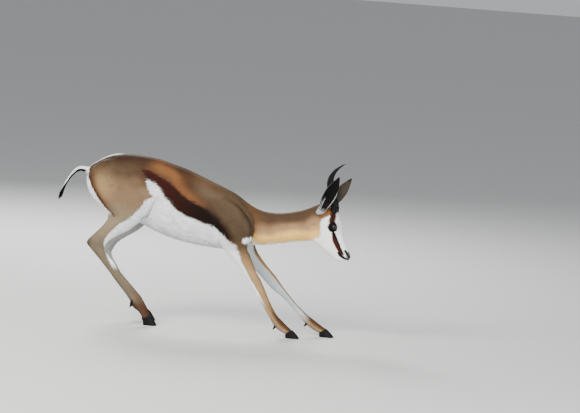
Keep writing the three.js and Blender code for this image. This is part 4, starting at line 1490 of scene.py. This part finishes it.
def mesh_from(name, points, faces, colours, normals, spots):
    mesh = bpy.data.meshes.new(name)
    mesh.vertices.add(len(points))
    mesh.vertices.foreach_set("co", points.ravel())
    mesh.loops.add(len(faces) * 3)
    mesh.loops.foreach_set("vertex_index", faces.ravel())
    mesh.polygons.add(len(faces))
    mesh.polygons.foreach_set("loop_start", np.arange(0, len(faces) * 3, 3))
    mesh.polygons.foreach_set("use_smooth", np.ones(len(faces), bool))
    layer = mesh.uv_layers.new(name="OFBake")
    layer.data.foreach_set("uv", spots[faces.ravel()].ravel())
    mesh.update()
    piece = bpy.data.objects.new(name, mesh)
    bpy.context.scene.collection.objects.link(piece)
    set_colours(piece, colours)
    mesh.normals_split_custom_set_from_vertices(normals.tolist())
    return piece


def unwrap_spot(sizes, parts):
    """the place of a point on the rolled-out part it belongs to"""
    spots = np.zeros((len(sizes), 2))
    for index, part in enumerate(PARTS):
        chosen = np.minimum(parts, len(PARTS) - 1) == index
        if chosen.any():
            along, across, _ = RUNS[part].locate(sizes[chosen])
            side = sizes[chosen, 1]
            if "leg" in part:
                side = side - np.median(side)
            angle = np.arctan2(side / UNROLL_HALF_WIDTH, across) / (2 * np.pi) + 0.5
            spots[chosen] = np.column_stack([along, angle])
    return 0.02 + 0.96 * np.clip(spots, 0, 1)


def grow(name, picked, shares, length, width, lift):
    """a tuft on each root; length, width and lift in mm, one for all or one for each"""
    roots = blend_of(skin_points, picked, shares)
    normals = unit(blend_of(skin_normals, picked, shares))
    count = len(picked)
    ways = blend_of(lie, picked, shares)
    ways = flatten_to_skin(ways + STRAY * rng.normal(size=(count, 3)), normals)
    sideways = np.cross(ways, normals)
    vary = rng.uniform(0.75, 1.25, (count, 1))
    scales = (np.broadcast_to(value, count)[:, None] for value in (length, width, lift))
    long, wide, high = (scale * MM * vary for scale in scales)
    parts = face_parts[picked]
    sizes = to_sizes(roots)
    colour = paint(sizes + rng.normal(scale=COLOUR_STRAY, size=sizes.shape), normals, parts)
    colour = np.clip(colour * (1 + TINT * rng.normal(size=(count, 1))), 0, 1)
    points = np.empty((count, 4, 3))
    for index, (across, ahead, rise) in enumerate(TUFT):
        points[:, index] = roots + sideways * across * wide + ways * ahead * long
        above_skin = high * (0.55 * (rise > 0) + 1.0 * (index == 3))
        points[:, index] += normals * (-ROOT_DEPTH * (rise < 0) + above_skin)
    point_normals = normals[:, None] + sideways[:, None] * TUFT_LEAN[:, None]
    point_normals[:, 3] += 0.25 * ways
    colours = np.clip(colour[:, None] * TUFT_SHADE[:, None], 0, 1)
    spots = unwrap_spot(sizes, parts)[:, None] + TUFT_SPREAD[None]
    faces = (np.arange(count)[:, None, None] * 4 + TUFT_FACES[None]).reshape(-1, 3)
    piece = mesh_from(name, points.reshape(-1, 3), faces, colours.reshape(-1, 3),
                      unit(point_normals.reshape(-1, 3)), spots.reshape(-1, 2))
    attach(piece, "root")
    print(name, count, "tufts,", len(faces), "triangles")
    return piece


# %% [markdown]
# ## From nose to feet
# The coat is grown part by part, because each part has its own length of hair. The tufts get shorter
# and closer towards the nose and the feet. The eyes, the nostrils, the lips and the tip of the nose
# stay bare.

# %% The short coat, part by part
TORSO_SPACING, NECK_SPACING, HEAD_SPACING = 3.1, 2.7, 1.9
TORSO_TUFT = 12, 2.6, 0.7
NECK_TUFT = 11, 2.3, 0.7
EAR_TUFT = 5.0, 1.2, 0.35
BARE_LID = 3.2
BARE_NOSTRIL = 3.5
BARE_LIP = 1.6

coats = []
face_side = np.sign(face_middle[:, 1])
leg_low = smoothstep(360, 240, face_middle[:, 2])
for index, part in enumerate(PARTS):
    mask = face_parts == index
    if part == "torso":
        for side, label in ((RIGHT, "right"), (LEFT, "left")):
            roots = sow(mask & (face_side == side), TORSO_SPACING)
            coats.append(grow(f"coat_torso_{label}", *roots, *TORSO_TUFT))
    elif part == "neck":
        coats.append(grow("coat_neck", *sow(mask, NECK_SPACING), *NECK_TUFT))
    elif part == "head":
        eye_gap = np.full(len(face_middle), FAR)
        straight = straighten_head(face_middle)
        for side in (RIGHT, LEFT):
            outwards, slit, lift_axis = eye_axes(side)
            offset = straight - eye_centre(side)
            edge = lid_distance(offset @ slit, offset @ lift_axis)
            eye_gap = np.where(offset @ outwards > 0, np.minimum(eye_gap, edge), eye_gap)
        bare = distance_to(straight, NOSTRIL) < BARE_NOSTRIL
        bare |= (distance_to(straight, MOUTH) < BARE_LIP) & (straight[:, 0] > 560)
        bare |= (straight[:, 0] > 598) & (straight[:, 2] > 334)
        roots = sow(mask & (eye_gap > BARE_LID) & ~bare, HEAD_SPACING)
        small = smoothstep(600, 480, blend_of(skin_sizes, *roots)[:, 0])
        tuft = 3.2 + 4.5 * small, 1.1 + 0.7 * small, 0.25 + 0.3 * small
        coats.append(grow("coat_head", *roots, *tuft))
    else:
        roots = sow(mask, TORSO_SPACING - 0.9 * leg_low)
        low = smoothstep(380, 200, blend_of(skin_sizes, *roots)[:, 2])
        tuft = 11 - 5 * low, 2.5 - 0.8 * low, 0.65 - 0.3 * low
        coats.append(grow(f"coat_{part}", *roots, *tuft))
roots = sow(face_parts == EARS, HEAD_SPACING)
coats.append(grow("coat_ears", *roots, *EAR_TUFT))
print("short coat", sum(triangles_in(piece) for piece in coats), "triangles")

# %% [markdown]
# ## Long hair
# The tail is a thin dock with a brush of hair: white on the outside of the curve, a black line of painted
# shade inside it and a black tuft at its end. Longer hair also fringes the rump, the elbow, the flank line,
# the belly and the ear roots. These locks bend, so each has two sections and a point.

# %% Locks that bend
LOCK_SECTIONS = [(0.0, 1.0), (0.5, 0.8)]
LOCK_CORNERS = np.array([[0.5, -0.3], [-0.5, -0.3], [0.0, 0.5]])
LOCK_FACES = np.array([
    [0, 2, 1], [0, 1, 4], [0, 4, 3], [1, 2, 5], [1, 5, 4], [2, 0, 3], [2, 3, 5], [3, 4, 6], [4, 5, 6],
    [5, 3, 6],
])
LOCK_SHADE = 0.88, 0.88, 0.95, 0.98, 0.98, 1.0
LOCK_SPREAD = np.array([[-1, -1], [1, -1], [0, -0.5], [-0.7, 0.2], [0.7, 0.2], [0, 0.4], [0, 1]]) * PATCH
LOCK_DEPTH = 0.0005
LOCK_FLATNESS = 0.6


def grow_locks(name, roots, normals, ways, bends, length, width, colours, spots, tip_shade=1.05):
    """roots in metres; ways and bends in shares of a lock; length and width in mm"""
    count = len(roots)
    ways, normals = unit(ways), unit(normals)
    sideways = unit(np.cross(ways, normals))
    rise = np.cross(sideways, ways)
    long, wide = (np.broadcast_to(value, count)[:, None] * MM for value in (length, width))
    points = np.empty((count, 7, 3))
    point_normals = np.empty((count, 7, 3))
    for section, (share, size) in enumerate(LOCK_SECTIONS):
        middle = roots + (ways * share + bends * share**2) * long - normals * LOCK_DEPTH * (section == 0)
        for corner, (across, high) in enumerate(LOCK_CORNERS):
            index = section * 3 + corner
            points[:, index] = middle + (sideways * across + rise * high * LOCK_FLATNESS) * wide * size
            point_normals[:, index] = normals + sideways * across + rise * high
    points[:, 6] = roots + (ways + bends) * long
    point_normals[:, 6] = normals + ways
    faces = (np.arange(count)[:, None, None] * 7 + LOCK_FACES[None]).reshape(-1, 3)
    shade = np.array([*LOCK_SHADE, tip_shade])[:, None]
    colours = np.clip(colours[:, None] * shade, 0, 1)
    spots = spots[:, None] + LOCK_SPREAD[None]
    piece = mesh_from(name, points.reshape(-1, 3), faces, colours.reshape(-1, 3),
                      unit(point_normals.reshape(-1, 3)), spots.reshape(-1, 2))
    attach(piece, "root")
    print(name, count, "locks,", len(faces), "triangles")
    return piece


# %% [markdown]
# ## The tail's brush
# The locks stand along the dock and around it. The angle around the dock decides the colour: black
# towards the inside of the curve, as painted shade, white elsewhere. Near the end they grow long and all
# turn black.

# %% The brush of the tail
TAIL_LOCKS = 3600
TAIL_LOCK_WIDTH = 1.5
BLACK_WITHIN = 1.6

dock_path = dock_run[:, :3]
dock_ways = unit(np.gradient(dock_path, axis=0))
dock_inner = np.stack([-dock_ways[:, 2], dock_ways[:, 1] * 0, dock_ways[:, 0]], -1)
spot_along = rng.random(TAIL_LOCKS) ** 0.7 * 0.88 + 0.11
angles = rng.uniform(-np.pi, np.pi, TAIL_LOCKS)
at = spot_along * (len(dock_path) - 1)
low = np.floor(at).astype(int).clip(0, len(dock_path) - 2)
part_way = (at - low)[:, None]
middle = dock_path[low] * (1 - part_way) + dock_path[low + 1] * part_way
along_dock = dock_ways[low]
inner = dock_inner[low]
radius = np.interp(at, np.arange(len(dock_run)), dock_run[:, 3])
outward = inner * np.cos(angles)[:, None] + np.array([0, 1, 0]) * np.sin(angles)[:, None]
tuft_end = smoothstep(0.80, 0.94, spot_along)
ways = along_dock + outward * (0.07 + 0.10 * rng.random(TAIL_LOCKS) + 0.02 * tuft_end)[:, None]
# Black locks inside the curve are painted shade; those near the end are the black tuft.
is_black = np.abs(angles) < BLACK_WITHIN * (1 + tuft_end)
is_black |= rng.random(TAIL_LOCKS) < tuft_end
bends = inner * np.where(is_black, 0.08, -0.06)[:, None] - outward * 0.16
bends += 0.06 * rng.normal(size=(TAIL_LOCKS, 3))
bends += np.array([-0.25, 0, -0.2]) * tuft_end[:, None] * rng.random((TAIL_LOCKS, 1))
tail_colour = np.where(is_black[:, None], BLACK, WHITE * 0.97)
tail_colour = np.clip(tail_colour * (1 + 0.05 * rng.normal(size=(TAIL_LOCKS, 1))), 0, 1)
tail_roots = to_metres(middle + outward * radius[:, None] * 0.8)
tail_spots = np.column_stack([0.05 + 0.9 * spot_along, 0.05 + 0.9 * (angles / (2 * np.pi) + 0.5)])
lengths = (12 + 7 * rng.random(TAIL_LOCKS)) + 27 * tuft_end
brush = grow_locks("coat_tail", tail_roots, outward, ways, bends, lengths, TAIL_LOCK_WIDTH, tail_colour,
                   tail_spots, tip_shade=1.0)
coats.append(brush)


# %% [markdown]
# ## Fringes of the body
# Where white meets brown at the elbow, the flank and the rump, and under the belly, the hair is
# longer and hangs over the border. Each fringe grows only on the faces that its mask picks.

# %% Fringes
def fringe(name, mask, spacing, length, width, way, spread=0.25, lift=0.35, whiten=0.0):
    picked, shares = sow(mask, spacing)
    count = len(picked)
    roots = blend_of(skin_points, picked, shares)
    normals = unit(blend_of(skin_normals, picked, shares))
    ways = blend_of(lie, picked, shares) * 0.6 + np.array(way, float)
    ways = flatten_to_skin(ways + spread * rng.normal(size=(count, 3)), normals) + normals * lift
    sizes = to_sizes(roots)
    colours = mix(paint(sizes, normals, face_parts[picked]), WHITE, np.full(count, whiten))
    colours = np.clip(colours * (1 + TINT * rng.normal(size=(count, 1))), 0, 1)
    bends = -normals * lift * 0.7 + 0.06 * rng.normal(size=(count, 3))
    long = length * rng.uniform(0.7, 1.25, count)
    spots = unwrap_spot(sizes, face_parts[picked])
    coats.append(grow_locks(name, roots, normals, ways, bends, long, width, colours, spots))


x, y, z = face_middle.T
right_place = as_right_side(face_middle, face_parts)
band_gap = np.abs(side_of_curve(right_place, BACK_STRIPE_LOW))
rump_gap = side_of_curve(right_place, RUMP_EDGE)
pale = skin_colour[corners].mean((1, 2)) > 0.5
elbow = (band_gap < 9) & (right_place[:, 0] > 40) & (right_place[:, 2] > 300) & pale & (np.abs(y) > 40)
fringe("coat_elbow_fringe", elbow, 3.0, 13, 1.5, (0.1, 0, 0.5), lift=0.25)
flank = (band_gap < 5) & (right_place[:, 0] < 60) & pale & (z > 400)
fringe("coat_flank_fringe", flank, 3.2, 9, 1.5, (-0.6, 0, 0.2), lift=0.12)
rump = (face_parts != EARS) & (face_parts != TAIL_PART) & (x < -400) & (rump_gap < 6) & pale & (z > 440)
fringe("coat_rump_fringe", rump, 3.0, 17, 1.7, (-0.2, 0, -0.7), lift=0.22)
under = (face_parts == TORSO) & pale & (z < 470) & (np.abs(y) < 60) & (x > -190) & (x < 130)
fringe("coat_belly_fringe", under, 4.2, 15, 1.8, (-0.8, 0, -0.5), lift=0.22)
print("coat so far", sum(triangles_in(piece) for piece in coats), "triangles")

# %% [markdown]
# ## Hair of the ears
# White hair stands at the root of the ear and in rows along the front of its cup.

# %% Ear roots and cups
ear_share = np.zeros(len(face_middle))
ear_ahead = np.zeros(len(face_middle))
for side in (RIGHT, LEFT):
    chosen = (face_parts == EARS) & (face_side == side)
    share, across = ear_place(face_middle[chosen], side)
    ear_share[chosen] = share
    ear_ahead[chosen] = across * np.sign(ear_frame(side)[4][0])
ear_root = (face_parts == EARS) & (ear_share < 0.09)
fringe("coat_ear_roots", ear_root, 2.4, 10, 1.1, (0.1, 0, 0.5), spread=0.3, lift=0.35, whiten=0.25)
in_cup = (face_parts == EARS) & (ear_share < 0.45) & (ear_ahead < 0)
in_cup &= skin_colour[corners].mean((1, 2)) > 0.12
fringe("coat_ear_cups", in_cup, 2.2, 9, 0.8, (0, 0, 0.3), spread=0.1, lift=0.3, whiten=0.3)
print("whole coat", sum(triangles_in(piece) for piece in coats), "triangles")

# %% [markdown]
# ## Materials
# Shaders are written as sums. A small wire class carries a socket and knows how to add, multiply
# and mix, so each material reads like the formula it is.

# %% A graph that is written as a sum
class Wire:
    def __init__(self, graph, socket):
        self.graph = graph
        self.socket = socket

    def __add__(self, other):
        return self.graph.maths("ADD", self, other)

    def __radd__(self, other):
        return self.graph.maths("ADD", other, self)

    def __sub__(self, other):
        return self.graph.maths("SUBTRACT", self, other)

    def __rsub__(self, other):
        return self.graph.maths("SUBTRACT", other, self)

    def __mul__(self, other):
        return self.graph.maths("MULTIPLY", self, other)

    def __rmul__(self, other):
        return self.graph.maths("MULTIPLY", other, self)

    def __truediv__(self, other):
        return self.graph.maths("DIVIDE", self, other)

    def __pow__(self, other):
        return self.graph.maths("POWER", self, other)


class Graph:
    def __init__(self, name):
        self.material = bpy.data.materials.new(name)
        self.material.use_nodes = True
        self.tree = self.material.node_tree
        self.surface = self.tree.nodes["Principled BSDF"]

    def feed(self, socket, value):
        if isinstance(value, Wire):
            self.tree.links.new(value.socket, socket)
        elif isinstance(value, (tuple, list)) and len(value) == 3 and len(socket.default_value) == 4:
            socket.default_value = (*value, 1)
        else:
            socket.default_value = value

    def node(self, kind, settings=None, output=0, **values):
        made = self.tree.nodes.new(kind)
        for name, value in (settings or {}).items():
            setattr(made, name, value)
        for name, value in values.items():
            found = [s for s in made.inputs if s.identifier == name or s.name == name.replace("_", " ")]
            self.feed(found[0], value)
        found = [s for s in made.outputs if s.identifier == output or s.name == output]
        return Wire(self, found[0] if found else made.outputs[output])

    def maths(self, operation, one, other):
        made = self.tree.nodes.new("ShaderNodeMath")
        made.operation = operation
        self.feed(made.inputs[0], one)
        self.feed(made.inputs[1], other)
        return Wire(self, made.outputs[0])

    def mix(self, share, one, other):
        return self.node("ShaderNodeMix", {"data_type": "RGBA"}, "Result_Color",
                         Factor_Float=share, A_Color=one, B_Color=other)

    def spot(self):
        return self.node("ShaderNodeTexCoord", output="Object")

    def own(self, name, output="Color"):
        return self.node("ShaderNodeAttribute", {"attribute_name": name}, output)

    def noise(self, place, scale, detail=2.0):
        return self.node("ShaderNodeTexNoise", output="Fac", Vector=place, Scale=scale, Detail=detail)

    def stretched(self, place, scale):
        return self.node("ShaderNodeMapping", Vector=place, Scale=scale)

    def within(self, value, low, high):
        return self.node("ShaderNodeMapRange", {"interpolation_type": "SMOOTHSTEP"},
                         Value=value, From_Min=low, From_Max=high)

    def bump(self, height, strength, distance):
        return self.node("ShaderNodeBump", Height=height, Strength=strength, Distance=distance)

    def put(self, **values):
        for name, value in values.items():
            self.feed(self.surface.inputs[name.replace("_", " ")], value)
        return self.material


# %% [markdown]
# ## The paint of skin and hair
# Both take their colour from the points. The skin adds strands as a bump along the lie of the hair,
# so it still reads as fur where tufts part. The tufts add only soft patches of light and dark.

# %% Skin and hair
SKIN_ROUGHNESS, SKIN_BUMP = 0.62, 0.35
TUFT_ROUGHNESS = 0.62
STRAND_HEIGHT = 0.0006
DULL_SHINE = 0.1
GIRTH_RADIUS = 60
PART_GAP = 40


def hair_material(name, roughness, strength):
    graph = Graph(name)
    colour = graph.own("coat_colour")
    comb = graph.own("comb", "Vector")
    strands = graph.noise(graph.stretched(comb, (0.10, 0.9, 1.0)), 1.0, 4.0)
    patches = graph.noise(graph.spot(), 22.0, 3.0)
    tone = 0.42 + 0.62 * strands + 0.5 * patches
    shaded = graph.node("ShaderNodeMix", {"data_type": "RGBA", "blend_type": "MULTIPLY"}, "Result_Color",
                        Factor_Float=1.0, A_Color=colour, B_Color=tone)
    return graph.put(Base_Color=shaded, Roughness=roughness + 0.12 * patches,
                     Normal=graph.bump(strands, strength, STRAND_HEIGHT), Specular_IOR_Level=DULL_SHINE,
                     Sheen_Weight=0.0)


def tuft_material(name):
    graph = Graph(name)
    colour = graph.own("coat_colour")
    patches = graph.noise(graph.spot(), 26.0, 3.0)
    shaded = graph.node("ShaderNodeMix", {"data_type": "RGBA", "blend_type": "MULTIPLY"}, "Result_Color",
                        Factor_Float=1.0, A_Color=colour, B_Color=0.72 + 0.56 * patches)
    return graph.put(Base_Color=shaded, Roughness=TUFT_ROUGHNESS + 0.1 * patches,
                     Specular_IOR_Level=DULL_SHINE, Sheen_Weight=0.0)


comb_places = np.zeros((len(skin_points), 3))
comb_places[:, 0] = skin_along * np.array([RUNS[part].length[-1] for part in PARTS])[body_parts]
comb_places[:, 1] = np.arctan2(skin_sizes[:, 1] / GIRTH_RADIUS, skin_across) * GIRTH_RADIUS
comb_places[:, 2] = PART_GAP * body_parts
store = skin.data.attributes.new("comb", "FLOAT_VECTOR", "POINT")
store.data.foreach_set("vector", comb_places.ravel())


def dress(piece, material):
    piece.data.materials.clear()
    piece.data.materials.append(material)


dress(skin, hair_material("skin_with_short_hair", SKIN_ROUGHNESS, SKIN_BUMP))
tuft_paint = tuft_material("hair_tufts")
for piece in coats:
    dress(piece, tuft_paint)

# %% [markdown]
# ## The paint of horn, hoof and eye
# Horn is dark and lightly streaked along its length, hooves are streaked around by their growth, and
# the eye is nearly black under a thin clear coat that makes it look wet.

# %% Horn, hoof and eye
HORN_DARK, HORN_LIGHT = linear(3, 3, 3), linear(16, 13, 12)
HORN_GRAIN = 260, 260, 900
HOOF_DARK, HOOF_LIGHT = linear(4, 3, 3), linear(20, 17, 15)
HOOF_GRAIN = 120, 120, 1200
EYE_DARK = tuple(linear(5, 4, 4))
EYE_BROWN = tuple(linear(22, 12, 8))


def horn_material(name, colour, light, scale, height):
    graph = Graph(name)
    place_there = graph.stretched(graph.spot(), scale)
    grain = graph.noise(place_there, 1.0, 4.0)
    blotch = graph.noise(graph.spot(), 45.0, 2.0)
    tint = graph.mix(graph.within(grain * 0.6 + blotch * 0.4, 0.35, 0.75), tuple(colour), tuple(light))
    return graph.put(Base_Color=tint, Roughness=0.42 + 0.25 * grain, Normal=graph.bump(grain, 0.4, height),
                     Specular_IOR_Level=0.16)


horn_paint = horn_material("black_horn", HORN_DARK, HORN_LIGHT, HORN_GRAIN, 0.0006)
for piece in horns.values():
    dress(piece, horn_paint)
hoof_paint = horn_material("hoof", HOOF_DARK, HOOF_LIGHT, HOOF_GRAIN, 0.0004)
for piece in claws:
    dress(piece, hoof_paint)

graph = Graph("wet_eye")
iris = graph.mix(graph.noise(graph.spot(), 160.0, 3.0), EYE_DARK, EYE_BROWN)
eye_paint = graph.put(Base_Color=iris,
                      Roughness=0.16, Specular_IOR_Level=0.3, Coat_Weight=0.25, Coat_Roughness=0.05)
for piece in eyes.values():
    dress(piece, eye_paint)
print("materials", len(bpy.data.materials))

# %% [markdown]
# ## One skin for many solids
# The skin takes the place of the solids of torso, neck, head, legs, tail and ears, which would
# otherwise show below it.

# %% The skin stands for the flesh
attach(skin, "root")
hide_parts(*PARTS, "tail", "ear_right", "ear_left")
